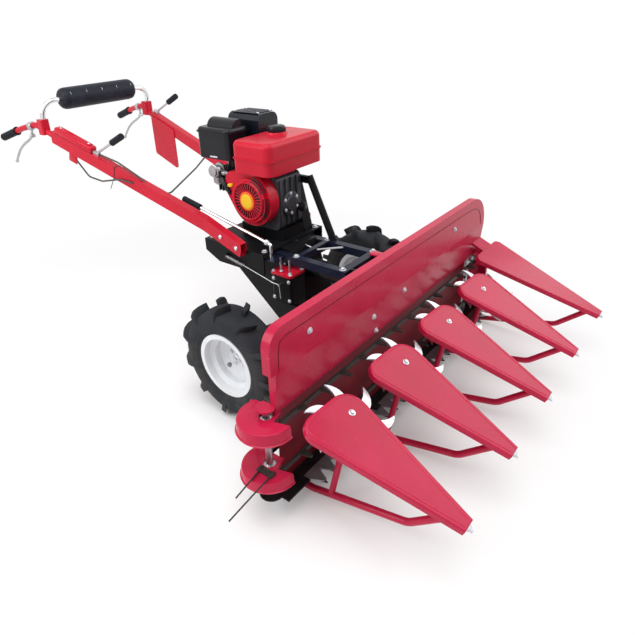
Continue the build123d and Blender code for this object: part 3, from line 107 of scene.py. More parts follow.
# %% Node helpers
def new_group(name, inputs, outputs):
    """An empty shader group with its sockets and its two end nodes."""
    group = bpy.data.node_groups.new(name, "ShaderNodeTree")
    for socket, default in inputs.items():
        made = group.interface.new_socket(socket, in_out="INPUT", socket_type="NodeSocketFloat")
        made.default_value = default
    for socket in outputs:
        group.interface.new_socket(socket, in_out="OUTPUT", socket_type="NodeSocketFloat")
    return group, group.nodes.new("NodeGroupInput"), group.nodes.new("NodeGroupOutput")


def feed(tree, socket, given):
    """Set a socket to a colour or a number, or link another socket to it."""
    if isinstance(given, tuple):
        socket.default_value = (*given, 1.0)
    elif isinstance(given, (int, float)):
        socket.default_value = given
    else:
        tree.links.new(given, socket)


def noise_node(tree, scale, detail, roughness):
    """A noise texture on Object coordinates."""
    coordinates = tree.nodes.new("ShaderNodeTexCoord")
    noise = tree.nodes.new("ShaderNodeTexNoise")
    tree.links.new(coordinates.outputs["Object"], noise.inputs["Vector"])
    feed(tree, noise.inputs["Scale"], scale)
    feed(tree, noise.inputs["Detail"], detail)
    feed(tree, noise.inputs["Roughness"], roughness)
    return noise.outputs["Fac"]


def ramp_node(tree, value, low, high, out_low=0.0, out_high=1.0):
    """A clamped map from one range to another."""
    ramp = tree.nodes.new("ShaderNodeMapRange")
    names = ("Value", "From Min", "From Max", "To Min", "To Max")
    for socket, given in zip(names, (value, low, high, out_low, out_high)):
        feed(tree, ramp.inputs[socket], given)
    return ramp.outputs["Result"]


def math_node(tree, operation, first, second):
    """One arithmetic step."""
    step = tree.nodes.new("ShaderNodeMath")
    step.operation = operation
    feed(tree, step.inputs[0], first)
    feed(tree, step.inputs[1], second)
    return step.outputs["Value"]


# %% [markdown]
# ## Node groups that many finishes share
# Paint is never one flat colour: it has a faint orange peel, uneven gloss, and dust that gathers
# low down. Each of these is a small node group with its own inputs, built once and placed in
# every material that needs it.

# %% Shared effects
def make_dust_group():
    """Dust that lies thick near the ground and thins out upwards, broken by noise."""
    inputs = {"Low": 0.0, "High": 0.5, "Amount": 0.5, "Scale": 14.0}
    group, start, end = new_group("Dust", inputs, ["Mask"])
    coordinates = group.nodes.new("ShaderNodeTexCoord")
    split = group.nodes.new("ShaderNodeSeparateXYZ")
    group.links.new(coordinates.outputs["Object"], split.inputs["Vector"])
    low, high = start.outputs["Low"], start.outputs["High"]
    fall = ramp_node(group, split.outputs["Z"], low, high, 1.0, 0.0)
    patch = ramp_node(group, noise_node(group, start.outputs["Scale"], 6.0, 0.6), 0.35, 0.75)
    broken = math_node(group, "MULTIPLY", fall, patch)
    mask = math_node(group, "MULTIPLY", broken, start.outputs["Amount"])
    group.links.new(mask, end.inputs["Mask"])
    return group


def make_peel_group():
    """The faint waviness of sprayed paint, and a slow change of tone over a panel."""
    group, start, end = new_group("Orange peel", {"Fine": 420.0, "Broad": 6.0}, ["Height", "Tone"])
    fine = noise_node(group, start.outputs["Fine"], 2.0, 0.4)
    broad = noise_node(group, start.outputs["Broad"], 4.0, 0.55)
    group.links.new(fine, end.inputs["Height"])
    group.links.new(ramp_node(group, broad, 0.3, 0.7), end.inputs["Tone"])
    return group


def make_scuff_group():
    """Small rubbed spots and scratches, as a mask."""
    group, start, end = new_group("Scuffs", {"Scale": 38.0, "Amount": 0.5}, ["Mask"])
    spots = noise_node(group, start.outputs["Scale"], 8.0, 0.7)
    spread = math_node(group, "MULTIPLY", start.outputs["Amount"], 0.12)
    limit = math_node(group, "SUBTRACT", 0.74, spread)
    mask = ramp_node(group, spots, limit, math_node(group, "ADD", limit, 0.05))
    group.links.new(mask, end.inputs["Mask"])
    return group


DUST = make_dust_group()
PEEL = make_peel_group()
SCUFF = make_scuff_group()
print("shared groups:", DUST.name, PEEL.name, SCUFF.name)

# %% [markdown]
# ## One recipe for every finish
# One function makes any finish from a colour, a second tone and a handful of amounts. Constants
# are set on the shader's own sockets, and only what changes over the surface is linked.

# %% The recipe
DUST_COLOUR = (0.36, 0.30, 0.24)
SCUFF_COLOUR = (0.30, 0.29, 0.28)
DUST_ROUGHNESS = 0.85
COAT_ROUGHNESS = 0.12
BUMP_DISTANCE = 0.002


def set_inputs(node, values):
    """Set a node's own sockets by name."""
    for socket, value in values.items():
        node.inputs[socket].default_value = value


# %% Groups and mixes
def place_group(tree, group, **values):
    """A group node with its inputs set."""
    node = tree.nodes.new("ShaderNodeGroup")
    node.node_tree = group
    set_inputs(node, values)
    return node


def mix_colours(tree, factor, first, second):
    """A colour mix."""
    mix = tree.nodes.new("ShaderNodeMix")
    mix.data_type = "RGBA"
    tree.links.new(factor, mix.inputs["Factor"])
    sides = [socket for socket in mix.inputs if socket.type == "RGBA"]
    for socket, given in zip(sides, (first, second)):
        feed(tree, socket, given)
    return [socket for socket in mix.outputs if socket.type == "RGBA"][0]


# %% A finish
def finish(name, colour, tone, roughness, metallic=0.0, coat=0.0, specular=0.15, fine=420.0,
           bump=0.004, dust=0.05, dust_high=0.45, scuff=0.0, broad=6.0):
    """A finish with tone changes, uneven gloss, scuffs, low dust and a fine bump."""
    material = bpy.data.materials.new(name)
    material.use_nodes = True
    tree = material.node_tree
    shader = tree.nodes["Principled BSDF"]
    peel = place_group(tree, PEEL, Fine=fine, Broad=broad)
    dirt = place_group(tree, DUST, Low=0.0, High=dust_high, Amount=dust)
    base = mix_colours(tree, peel.outputs["Tone"], colour, tone)
    if scuff > 0:
        rubbed = place_group(tree, SCUFF, Amount=scuff)
        base = mix_colours(tree, rubbed.outputs["Mask"], base, SCUFF_COLOUR)
    base = mix_colours(tree, dirt.outputs["Mask"], base, DUST_COLOUR)
    tree.links.new(base, shader.inputs["Base Color"])
    glossy, dull = roughness * 0.85, min(1.0, roughness * 1.25)
    gloss = ramp_node(tree, peel.outputs["Tone"], 0.0, 1.0, glossy, dull)
    dusty = math_node(tree, "MULTIPLY", dirt.outputs["Mask"], DUST_ROUGHNESS)
    tree.links.new(math_node(tree, "MAXIMUM", gloss, dusty), shader.inputs["Roughness"])
    set_inputs(shader, {"Metallic": metallic, "Specular IOR Level": specular, "Coat Weight": coat,
                        "Coat Roughness": COAT_ROUGHNESS})
    raised = tree.nodes.new("ShaderNodeBump")
    set_inputs(raised, {"Strength": bump, "Distance": BUMP_DISTANCE})
    tree.links.new(peel.outputs["Height"], raised.inputs["Height"])
    tree.links.new(raised.outputs["Normal"], shader.inputs["Normal"])
    return material


# %% [markdown]
# ## Paints, rubber and plastic
# The engine, tank and handles are a warm red, the header sheets a cooler crimson, and the drive is
# black. The black parts keep a low specular, or the white surround would turn them grey. The
# darkest red is painted shade, for red sheet that lies in shadow, and a lighter red is a painted
# highlight on the dividers' folds.

# %% Paints, rubber and plastic
RED = finish("red_paint", (0.50, 0.006, 0.022), (0.56, 0.009, 0.032), 0.30, coat=0.12)
CRIMSON = finish("crimson_paint", (0.46, 0.007, 0.044), (0.54, 0.012, 0.062), 0.27, coat=0.18)
# Painted highlight: a lighter red for the light caught along the dividers' folds.
PAINTED_HIGHLIGHT_RED = finish("painted_highlight_red", (0.60, 0.022, 0.075), (0.66, 0.030, 0.090), 0.30, coat=0.16)
# Painted shade: this dark red stands for red sheet that lies in shadow, and for the panel fold's crease.
PAINTED_SHADE_RED = finish("painted_shade_red", (0.13, 0.004, 0.012), (0.20, 0.007, 0.018), 0.40, scuff=0.1)
BLACK = finish("black_paint", (0.0045, 0.0045, 0.0055), (0.008, 0.008, 0.009), 0.36, specular=0.10,
               scuff=0.05)
FRAME_BLUE = finish("blue_black_paint", (0.006, 0.008, 0.020), (0.012, 0.014, 0.030), 0.32,
                    coat=0.1)
BLUED = finish("blued_silencer_paint", (0.006, 0.008, 0.014), (0.012, 0.014, 0.022), 0.22, coat=0.3)
WHITE = finish("white_paint", (0.72, 0.74, 0.77), (0.78, 0.80, 0.82), 0.32, coat=0.2, dust=0.25,
               dust_high=0.4)
PRIMER = finish("brown_primer", (0.055, 0.032, 0.022), (0.10, 0.062, 0.042), 0.46, dust=0.1,
                scuff=0.2)
RUBBER = finish("tyre_rubber", (0.016, 0.018, 0.022), (0.028, 0.031, 0.037), 0.66, specular=0.12,
                fine=260.0, bump=0.04, dust=0.2)
GRIP = finish("soft_grip", (0.008, 0.009, 0.013), (0.014, 0.016, 0.022), 0.48, specular=0.10,
              fine=900.0, bump=0.04, dust=0.0)
ROLL_COVER = finish("roll_cover", (0.010, 0.011, 0.018), (0.020, 0.022, 0.034), 0.42,
                    specular=0.16, fine=650.0, bump=0.06, dust=0.0, broad=22.0)
PLASTIC = finish("black_plastic", (0.006, 0.006, 0.009), (0.011, 0.011, 0.015), 0.28, coat=0.2,
                 fine=1500.0, bump=0.02, dust=0.0)
YELLOW = finish("yellow_disc", (0.78, 0.48, 0.008), (0.86, 0.58, 0.020), 0.30, coat=0.3, dust=0.0)
ORANGE = finish("orange_ring", (0.80, 0.16, 0.004), (0.84, 0.20, 0.008), 0.30, coat=0.3, dust=0.0)
CABLE = finish("cable_cover", (0.060, 0.060, 0.056), (0.10, 0.10, 0.094), 0.5, dust=0.0)
print("paints, rubber and plastic:", len(bpy.data.materials))

# %% [markdown]
# ## Metals
# Bright steel, zinc plate and chrome differ in how sharp their shine is; castings are duller and
# have a coarser skin, which a stronger bump gives.

# %% Metals
STEEL = finish("bright_steel", (0.50, 0.51, 0.54), (0.62, 0.62, 0.64), 0.30, metallic=1.0,
               fine=600.0)
KNIFE_STEEL = finish("knife_steel", (0.20, 0.20, 0.22), (0.34, 0.34, 0.36), 0.38, metallic=1.0,
                     fine=500.0, scuff=0.3)
ZINC = finish("zinc_plate", (0.54, 0.55, 0.59), (0.68, 0.69, 0.73), 0.34, metallic=0.8, fine=240.0)
ALUMINIUM = finish("lever_aluminium", (0.42, 0.43, 0.45), (0.54, 0.55, 0.57), 0.38, metallic=0.9,
                   fine=800.0)
DARK_STEEL = finish("dark_steel", (0.030, 0.028, 0.027), (0.070, 0.064, 0.058), 0.42, metallic=0.8)
ENGINE = finish("engine_casting", (0.045, 0.048, 0.056), (0.085, 0.089, 0.098), 0.46, metallic=0.6,
                fine=700.0, bump=0.2)
CAST = finish("cast_aluminium", (0.36, 0.37, 0.38), (0.48, 0.48, 0.49), 0.44, metallic=0.9,
              fine=700.0, bump=0.2)
CHROME = finish("chrome", (0.70, 0.71, 0.73), (0.82, 0.83, 0.84), 0.10, metallic=1.0, dust=0.0,
                bump=0.0)
print("finishes:", len(bpy.data.materials))

# %% [markdown]
# ## Which piece wears which finish
# The frame's record gives every piece a slot, and each slot has one finish. A few pieces look
# different from the rest of their slot and are named one by one.

# %% Dress the frame
FINISH_OF = {
    "red_paint": RED, "black_paint": BLACK, "bare_metal": CAST, "steel": STEEL,
    "dark_steel": DARK_STEEL, "plated": CHROME, "white_rim": WHITE, "tyre": RUBBER,
    "soft_black": GRIP, "black_plastic": PLASTIC, "yellow_disc": YELLOW,
}
# The back plate wears the painted shade red: it is red sheet, darkened for the shadow it lies in.
OWN_FINISH = {
    "front_frame": FRAME_BLUE, "drive_tube": PRIMER, "nose_studs": ZINC, "engine_block": ENGINE,
    "muffler": BLUED, "back_plate": PAINTED_SHADE_RED, "clutch_levers": ALUMINIUM, "knife": KNIFE_STEEL,
    "cables": CABLE,
}
OWN_FINISH.update({"star_wheel_%d" % number: ZINC for number in range(1, 5)})
HEADER_SHEETS = ("panel", "dividers", "discharge_guards", "end_guard", "skids", "star_posts")
OWN_FINISH.update({name: CRIMSON for name in HEADER_SHEETS})


def wear(piece, material):
    """Give a piece one finish."""
    piece.data.materials.clear()
    piece.data.materials.append(material)


for entry in frame["record"]["subparts"]:
    name = entry["node"]
    wear(NODES[name], OWN_FINISH.get(name, FINISH_OF[entry["material_slot"]]))
print("pieces with a finish of their own:", len(OWN_FINISH))

# %% [markdown]
# ## Selecting
# An operator acts on all that is selected, so everything is deselected before a piece is made or
# shaped. Faces and edges are then chosen in code, by their place and direction.

# %% Selecting
UPRIGHT = Vector((0, 0, 1))
FORWARD = Vector((1, 0, 0))
LEFT = Vector((0, 1, 0))
ORIGIN = Vector((0, 0, 0))


def mode(kind):
    """Go into edit mode or back to object mode."""
    bpy.ops.object.mode_set(mode=kind)


def only(piece=None):
    """Select one piece, or nothing, in object mode."""
    if bpy.context.object and bpy.context.object.mode != "OBJECT":
        mode("OBJECT")
    bpy.ops.object.select_all(action="DESELECT")
    if piece:
        piece.select_set(True)
        bpy.context.view_layer.objects.active = piece


def pick(piece, test, kind="FACE"):
    """Edit mode, with only the faces or edges chosen by a test of place and direction."""
    only(piece)
    mode("EDIT")
    bpy.ops.mesh.select_mode(type=kind)
    bpy.ops.mesh.select_all(action="DESELECT")
    mode("OBJECT")
    mesh = piece.data
    if kind == "FACE":
        for face in mesh.polygons:
            face.select = test(face.center, face.normal)
    else:
        for edge in mesh.edges:
            start, end = (mesh.vertices[index].co for index in edge.vertices)
            edge.select = test((start + end) / 2, (end - start).normalized())
    mode("EDIT")


# %% [markdown]
# ## Hand tools for modelling
# Almost everything bolted to this machine is turned on a lathe, cut from bar or bent from rod.
# So there are three makers: a circle pushed along an axis with a new radius at each step, a box
# with rounded edges, and a rod drawn along a line.

# %% Turned pieces
def turned(place, axis, profile, sides=24, hollow=False):
    """A turned piece: a circle pushed along an axis in steps of (distance, radius)."""
    place, axis = Vector(place), Vector(axis).normalized()
    distance, radius = profile[0]
    only()
    bpy.ops.mesh.primitive_circle_add(
        vertices=sides, radius=radius, fill_type="NOTHING" if hollow else "NGON",
        location=place + axis * distance, rotation=axis.to_track_quat("Z", "Y").to_euler())
    piece = bpy.context.object
    bpy.ops.object.transform_apply()
    mode("EDIT")
    bpy.ops.mesh.select_mode(type="VERT")
    bpy.ops.mesh.select_all(action="SELECT")
    for further, wider in profile[1:]:
        move = {"value": axis * (further - distance), "orient_type": "GLOBAL"}
        bpy.ops.mesh.extrude_region_move(TRANSFORM_OT_translate=move)
        bpy.ops.transform.resize(value=[wider / radius] * 3, center_override=place + axis * further)
        distance, radius = further, wider
    bpy.ops.mesh.select_all(action="SELECT")
    if hollow:
        bpy.ops.mesh.remove_doubles(threshold=0.00001)
    bpy.ops.mesh.normals_make_consistent(inside=False)
    mode("OBJECT")
    return piece


# %% Blocks
def block(low, high, rounding=0.002, segments=2):
    """A box between two corners, with its edges rounded."""
    low, high = Vector(low), Vector(high)
    only()
    bpy.ops.mesh.primitive_cube_add(size=1, location=(low + high) / 2)
    piece = bpy.context.object
    piece.scale = high - low
    bpy.ops.object.transform_apply()
    mode("EDIT")
    bpy.ops.mesh.bevel(offset=rounding, segments=segments, affect="EDGES")
    mode("OBJECT")
    return piece


# %% Rods
def rod(points, radius, soft=False):
    """A rod bent at its points, or one that flows round them."""
    line = bpy.data.curves.new("rod", "CURVE")
    line.dimensions = "3D"
    line.bevel_depth = radius
    line.bevel_resolution = 2
    line.use_fill_caps = True
    spline = line.splines.new("NURBS" if soft else "POLY")
    spline.points.add(len(points) - 1)
    for knot, point in zip(spline.points, points):
        knot.co = (*point, 1)
    if soft:
        spline.order_u = 3
        spline.use_endpoint_u = True
    piece = bpy.data.objects.new("rod", line)
    SCENE.collection.objects.link(piece)
    only(piece)
    bpy.ops.object.convert(target="MESH")
    return bpy.context.object


# %% [markdown]
# ## Copies, and the last step of every piece
# What repeats is made once and copied, each copy with its own mesh. A finished piece is named,
# painted and fixed to the body that carries it, so that it moves with that body.

# %% Copies
def copied(piece, matrix):
    """A copy with its own mesh, moved by a matrix."""
    twin = piece.copy()
    twin.data = piece.data.copy()
    twin.data.transform(matrix)
    SCENE.collection.objects.link(twin)
    return twin


def joined(pieces):
    """Several pieces made one."""
    only(pieces[0])
    for piece in pieces[1:]:
        piece.select_set(True)
    if len(pieces) > 1:
        bpy.ops.object.join()
    return pieces[0]


def standing(place, axis):
    """The matrix that stands a piece made upright at the origin on a place, along an axis."""
    return Matrix.Translation(place) @ Vector(axis).to_track_quat("Z", "Y").to_matrix().to_4x4()


def around(place, axis, angle):
    """The matrix of a turn about an axis through a place."""
    turn = Matrix.Rotation(angle, 4, Vector(axis))
    return Matrix.Translation(place) @ turn @ Matrix.Translation(-Vector(place))


def set_of(template, spots):
    """Copies of a template on every (place, axis), joined; the template goes."""
    copies = [copied(template, standing(place, axis)) for place, axis in spots]
    bpy.data.objects.remove(template)
    return joined(copies)


def ring_of(template, place, axis, count):
    """Copies of a template in even steps round an axis; the template goes."""
    step = 2 * pi / count
    copies = [copied(template, around(place, axis, step * index)) for index in range(count)]
    bpy.data.objects.remove(template)
    return copies


# %% Dressing
def dressed(piece, name, material, body="chassis", angle=35):
    """Name a finished piece, paint it and fix it to the body that carries it."""
    only(piece)
    bpy.ops.object.transform_apply()
    bpy.ops.object.shade_smooth_by_angle(angle=radians(angle))
    piece.name = name
    wear(piece, material)
    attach(piece, body)
    print(name, len(piece.data.polygons), "faces")
    return piece


# %% [markdown]
# ## Tyres
# A farm tyre is a smooth carcass with bar lugs that lean across its shoulder. The carcass is a
# ring pushed round its own profile. One lug is a plane pushed outwards in steps, each with a new
# place, height and thickness; its edges are rounded, and it is copied round both sides.

# %% Sizes of a tyre
CARCASS_HALF = [(0.0, 0.1945), (0.024, 0.1935), (0.040, 0.190), (0.049, 0.186), (0.0545, 0.176),
                (0.0575, 0.163), (0.0582, 0.152), (0.0572, 0.142), (0.0562, 0.140),
                (0.0560, 0.136), (0.0566, 0.134), (0.0530, 0.126), (0.0470, 0.118),
                (0.0467, 0.1033)]
# Each step of a lug: way out from the middle, lean, lowest radius, highest radius, thickness.
LUG_STEPS = [(0.002, 0.000, 0.189, 0.219, 0.017), (0.026, 0.008, 0.189, 0.219, 0.019),
             (0.044, 0.020, 0.180, 0.214, 0.021), (0.055, 0.028, 0.167, 0.201, 0.022),
             (0.0578, 0.030, 0.157, 0.180, 0.020)]
LUG_ROUNDING = 0.0022
LUGS_PER_SIDE = 11
TYRE_SIDES = 96


# %% One lug
def make_lug():
    """One lug on top of the tyre, from the middle of the tread out to the shoulder."""
    side, lean, low, high, thick = LUG_STEPS[0]
    centre, size = Vector((lean, side, (low + high) / 2)), (thick, high - low)
    only()
    bpy.ops.mesh.primitive_plane_add(size=1, location=centre, rotation=(radians(90), 0, 0))
    lug = bpy.context.object
    lug.scale = (*size, 1)
    bpy.ops.object.transform_apply()
    mode("EDIT")
    for side, lean, low, high, thick in LUG_STEPS[1:]:
        place = Vector((lean, side, (low + high) / 2))
        move = {"value": place - centre, "orient_type": "GLOBAL"}
        bpy.ops.mesh.extrude_region_move(TRANSFORM_OT_translate=move)
        growth = (thick / size[0], 1, (high - low) / size[1])
        bpy.ops.transform.resize(value=growth, center_override=place)
        centre, size = place, (thick, high - low)
    bpy.ops.mesh.select_all(action="SELECT")
    bpy.ops.mesh.normals_make_consistent(inside=False)
    bpy.ops.mesh.bevel(offset=LUG_ROUNDING, segments=2, affect="EDGES")
    mode("OBJECT")
    return lug


# %% A whole tyre
def make_tyre():
    """A tyre round the origin, its axle along Y."""
    profile = [(-side, radius) for side, radius in reversed(CARCASS_HALF[1:])] + CARCASS_HALF
    parts = [turned(ORIGIN, LEFT, profile + profile[:1], TYRE_SIDES, hollow=True)]
    lug = make_lug()
    step = 2 * pi / LUGS_PER_SIDE
    mirror = Matrix.Diagonal((1, -1, 1, 1))
    for index in range(LUGS_PER_SIDE):
        parts.append(copied(lug, Matrix.Rotation(index * step, 4, "Y")))
        parts.append(copied(lug, Matrix.Rotation((index + 0.5) * step, 4, "Y") @ mirror))
    bpy.data.objects.remove(lug)
    tyre = joined(parts)
    pick(tyre, lambda place, normal: True)
    bpy.ops.mesh.normals_make_consistent(inside=False)
    mode("OBJECT")
    return tyre


# %% Both tyres
WHEELS = {"right": (AXLE_RIGHT, Matrix.Rotation(pi, 4, "Z")),
          "left": (AXLE_LEFT, Matrix.Identity(4))}
tyre_pattern = make_tyre()
for side, (axle, turn) in WHEELS.items():
    tyre = copied(tyre_pattern, Matrix.Translation(axle) @ turn)
    tyre = dressed(tyre, "lugged_tyre_" + side, RUBBER, "wheel_" + side, 40)
    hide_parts("tyre_" + side)
bpy.data.objects.remove(tyre_pattern)

# %% [markdown]
# ## Bolts
# A bolt is a six-sided head on a round washer, a carriage bolt a low dome. Each kind is made
# once, upright at the origin, and stood on every place that needs one.

# %% Bolt makers
def hexagon_bolt(radius, height):
    """A washer with a six-sided head."""
    washer = [(-0.001, radius * 1.6), (0.0014, radius * 1.6), (0.0018, radius * 1.5)]
    head = [(0.001, radius), (height * 0.82, radius), (height, radius * 0.82)]
    return joined([turned(ORIGIN, UPRIGHT, washer, 20), turned(ORIGIN, UPRIGHT, head, 6)])


def dome_bolt(radius, height):
    """A low round head."""
    dome = [(-0.001, radius), (height * 0.3, radius), (height * 0.65, radius * 0.84),
            (height * 0.9, radius * 0.5), (height, radius * 0.12)]
    return turned(ORIGIN, UPRIGHT, dome, 20)


# %% [markdown]
# ## Wheel bolts
# Five bolts hold each rim to its hub, a large nut closes the axle, and a valve stands in the dish.
# All of them ride the wheel, because they turn with it.

# %% Wheel bolts
BOLTS_PER_WHEEL = 5
BOLT_CIRCLE = 0.036
HUB_INSET = 0.0205
VALVE_INSET = 0.024
VALVE_SPOT = Vector((0.060, 0, 0.066))
AXLE_NUT = [(0.010, 0.017), (0.0165, 0.017), (0.0185, 0.014), (0.0190, 0.0085), (0.024, 0.008)]
VALVE_STEM = [(-0.002, 0.005), (0.014, 0.0045), (0.016, 0.0032), (0.030, 0.0030)]
for side, (axle, turn) in WHEELS.items():
    out = turn.to_3x3() @ LEFT
    hub = axle - out * HUB_INSET
    spots = []
    for index in range(BOLTS_PER_WHEEL):
        step = Matrix.Rotation(2 * pi * index / BOLTS_PER_WHEEL, 3, "Y")
        spots.append((hub + step @ Vector((0, 0, BOLT_CIRCLE)), out))
    bolts = set_of(hexagon_bolt(0.0068, 0.008), spots)
    nut = turned(hub, out, AXLE_NUT, 6)
    stem = turned(axle - out * VALVE_INSET + VALVE_SPOT, out, VALVE_STEM, 12)
    dressed(joined([bolts, nut]), "hub_bolts_" + side, ZINC, "wheel_" + side)
    dressed(stem, "valve_" + side, PLASTIC, "wheel_" + side)

# %% [markdown]
# ## Header bolts
# The panel leans back below its crease, so a bolt's place follows that lean. The dividers slope
# forward, and their bolts stand square to the sloping sheet.

# %% Header bolts
SLOPE = radians(24.5)
DIVIDER_UP = Vector((sin(SLOPE), 0, cos(SLOPE)))
PANEL_FACE = 0.410
PANEL_CREASE = 0.460
PANEL_LEAN = 0.012 / 0.125
PANEL_BOLTS = [(-0.512, 0.526), (0.368, 0.526), (0.003, 0.427), (-0.185, 0.412), (-0.161, 0.349)]
DIVIDER_BOLTS = [(0.5577, -0.532, 0.3381), (0.558, -0.250, 0.338), (0.558, 0.039, 0.338),
                 (0.558, 0.325, 0.338)]
spots = []
for y, z in PANEL_BOLTS:
    face = PANEL_FACE - PANEL_LEAN * max(0, PANEL_CREASE - z)
    spots.append((at(face, y, z), FORWARD))
spots += [(at(*place), DIVIDER_UP) for place in DIVIDER_BOLTS]
dressed(set_of(hexagon_bolt(0.0062, 0.007), spots), "header_bolts", ZINC)

# %% [markdown]
# ## Handle and frame bolts
# Two carriage bolts hold each handle's foot, and six-sided ones the frame, beam and engine bed.
# Rows that repeat are written as two short lists of places.

# %% Handle and frame bolts
FOOT_BOLTS = [(-0.242, 0.546), (-0.165, 0.5185)]
HANDLE_SIDE = 0.205
FRAME_TOP = 0.492
BED_TOP = 0.506
spots = [(at(x, side * HANDLE_SIDE, z), LEFT * side) for x, z in FOOT_BOLTS for side in (-1, 1)]
dressed(set_of(dome_bolt(0.0085, 0.006), spots), "handle_bolts", ZINC)
spots = [(at(x, y, FRAME_TOP), UPRIGHT) for x in (0.226, 0.024) for y in (-0.095, 0.095)]
spots += [(at(0.385, y, FRAME_TOP), UPRIGHT) for y in (-0.40, 0.44)]
spots += [(at(x, y, BED_TOP), UPRIGHT) for x in (-0.345, -0.078) for y in (-0.150, 0.150)]
dressed(set_of(hexagon_bolt(0.0075, 0.008), spots), "frame_bolts", ZINC)

# %% [markdown]
# ## Nose nuts
# A nut goes round the stud at each divider's tip. The studs' places and directions come from the
# frame's record, so each nut sits where its stud is.

# %% Nose nuts
STUD_HALF = 0.007
NOSE_NUT = [(-0.003, 0.009), (0.005, 0.009), (0.0062, 0.0075)]
nuts = []
for mount in frame["record"]["mounts"]:
    if mount["name"].startswith("nose_stud"):
        axis = Vector(mount["axis"])
        nuts.append(turned(Vector(mount["pos_m"]) - axis * STUD_HALF, axis, NOSE_NUT, 6))
dressed(joined(nuts), "nose_nuts", ZINC)

# %% [markdown]
# ## Recoil starter
# The pull starter sits in the middle of the fan cover: a ring of narrow slots that draw air, and a
# yellow disc with an orange rim. One rib is made and copied round; the dark plate behind the ribs
# is painted shade, standing for the shaded inside that makes the gaps read as slots.

# %% Recoil starter
disc_low, disc_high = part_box("starter_disc")
HUB = Vector(((disc_low.x + disc_high.x) / 2, disc_high.y, (disc_low.z + disc_high.z) / 2))
OUTWARD = -LEFT
STARTER_RIBS = 30
WELL = [(-0.001, 0.072), (0.0012, 0.072)]
INNER_RING = [(-0.001, 0.0385), (0.004, 0.0385), (0.0055, 0.037), (0.006, 0.034)]
OUTER_RING = [(0.0, 0.066), (0.0052, 0.066), (0.0066, 0.068), (0.0060, 0.071), (0.0, 0.075),
              (0.0, 0.066)]
RIM = [(0.0055, 0.0345), (0.0082, 0.0345), (0.0090, 0.0335), (0.0092, 0.026)]
BADGE = [(0.0055, 0.0268), (0.0096, 0.0268), (0.0106, 0.0250), (0.0112, 0.018), (0.0114, 0.004)]
# Painted shade: the dark disc behind the ribs stands for the shadow inside the starter's slots.
well = dressed(turned(HUB, OUTWARD, WELL, 48), "starter_shade_disc", PLASTIC)
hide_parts("starter_disc")
rib = block(HUB + Vector((0.036, -0.0046, -0.0019)), HUB + Vector((0.068, 0.0, 0.0019)), 0.0008, 1)
ribs = ring_of(rib, HUB, LEFT, STARTER_RIBS)
ribs.append(turned(HUB, OUTWARD, INNER_RING, 40))
ribs.append(turned(HUB, OUTWARD, OUTER_RING, 48, hollow=True))
dressed(joined(ribs), "starter_ribs", RED)
dressed(turned(HUB, OUTWARD, RIM, 48), "starter_rim", ORANGE)
dressed(turned(HUB, OUTWARD, BADGE, 48), "starter_badge", YELLOW)

# %% [markdown]
# ## Slots in the fan cover
# Outside the starter, the cover has rows of long curved slots. A dark rod bent along each arc and
# sunk half into the cover reads as a slot: its dark colour is painted shade for the slot's shaded
# inside, and the cover needs no cutting.

# %% Cover slots
SLOT_ROWS = [(0.0775, 0.0), (0.0845, 0.0010), (0.0915, 0.0072)]
SLOT_SPANS = [(-42, 14), (28, 76)]
SLOT_STEPS = 9
slots = []
for radius, back in SLOT_ROWS:
    for first, last in SLOT_SPANS:
        arc = []
        for step in range(SLOT_STEPS + 1):
            angle = radians(first + (last - first) * step / SLOT_STEPS)
            arc.append(HUB + Vector((radius * cos(angle), back, radius * sin(angle))))
        slots.append(rod(arc, 0.0021))
# Painted shade: the dark rods stand for the shadow inside the slots.
dressed(joined(slots), "cover_slot_shades", PLASTIC)

# %% [markdown]
# ## Carburettor and pull grip
# The carburettor, a flanged barrel with a bowl and an inlet, hangs under the air cleaner, with the
# pull grip and the yellow choke tab beside it. Turned pieces and rounded blocks are enough, as long
# as each one touches the casting that carries it.

# %% Carburettor and pull grip
BARREL = [(0.0, 0.027), (0.006, 0.027), (0.007, 0.019), (0.030, 0.019), (0.031, 0.025),
          (0.037, 0.025), (0.039, 0.021), (0.046, 0.020)]
BOWL = [(0.0, 0.013), (0.012, 0.013), (0.013, 0.017), (0.034, 0.016), (0.040, 0.010),
        (0.044, 0.005)]
INLET = [(0.0, 0.009), (0.016, 0.009), (0.018, 0.006), (0.030, 0.006)]
PULL_WAY = Vector((0.62, 0, -0.78))
PULL_STEPS = [(0.0, 0.006), (0.004, 0.0085), (0.034, 0.0072), (0.066, 0.0085), (0.070, 0.006)]
PULL_BOSS = [(0.0, 0.012), (0.018, 0.012), (0.022, 0.008), (0.034, 0.005)]
carburettor = [turned(at(-0.385, -0.038, 0.742), OUTWARD, BARREL, 24),
               turned(at(-0.385, -0.058, 0.730), -UPRIGHT, BOWL, 24),
               block(at(-0.372, -0.078, 0.748), at(-0.345, -0.066, 0.762), 0.003),
               turned(at(-0.350, -0.060, 0.738), FORWARD, INLET, 16)]
dressed(joined(carburettor), "carburettor_body", CAST)
pull = [turned(at(-0.334, -0.088, 0.727), PULL_WAY, PULL_STEPS, 20),
        turned(at(-0.300, -0.055, 0.690), OUTWARD, PULL_BOSS, 20),
        block(at(-0.325, -0.084, 0.700), at(-0.300, -0.050, 0.712), 0.003)]
dressed(joined(pull), "pull_grip", PLASTIC)
tab = block(at(-0.296, -0.096, 0.700), at(-0.276, -0.070, 0.711), 0.003)
dressed(tab, "choke_tab", YELLOW)

# %% [markdown]
# ## Engine case
# The case's front has upright ribs, a round cover with six screws and an oil plug, all placed from
# the front face of the casting so that they sit on it. Four more screws hold the silencer's shield.

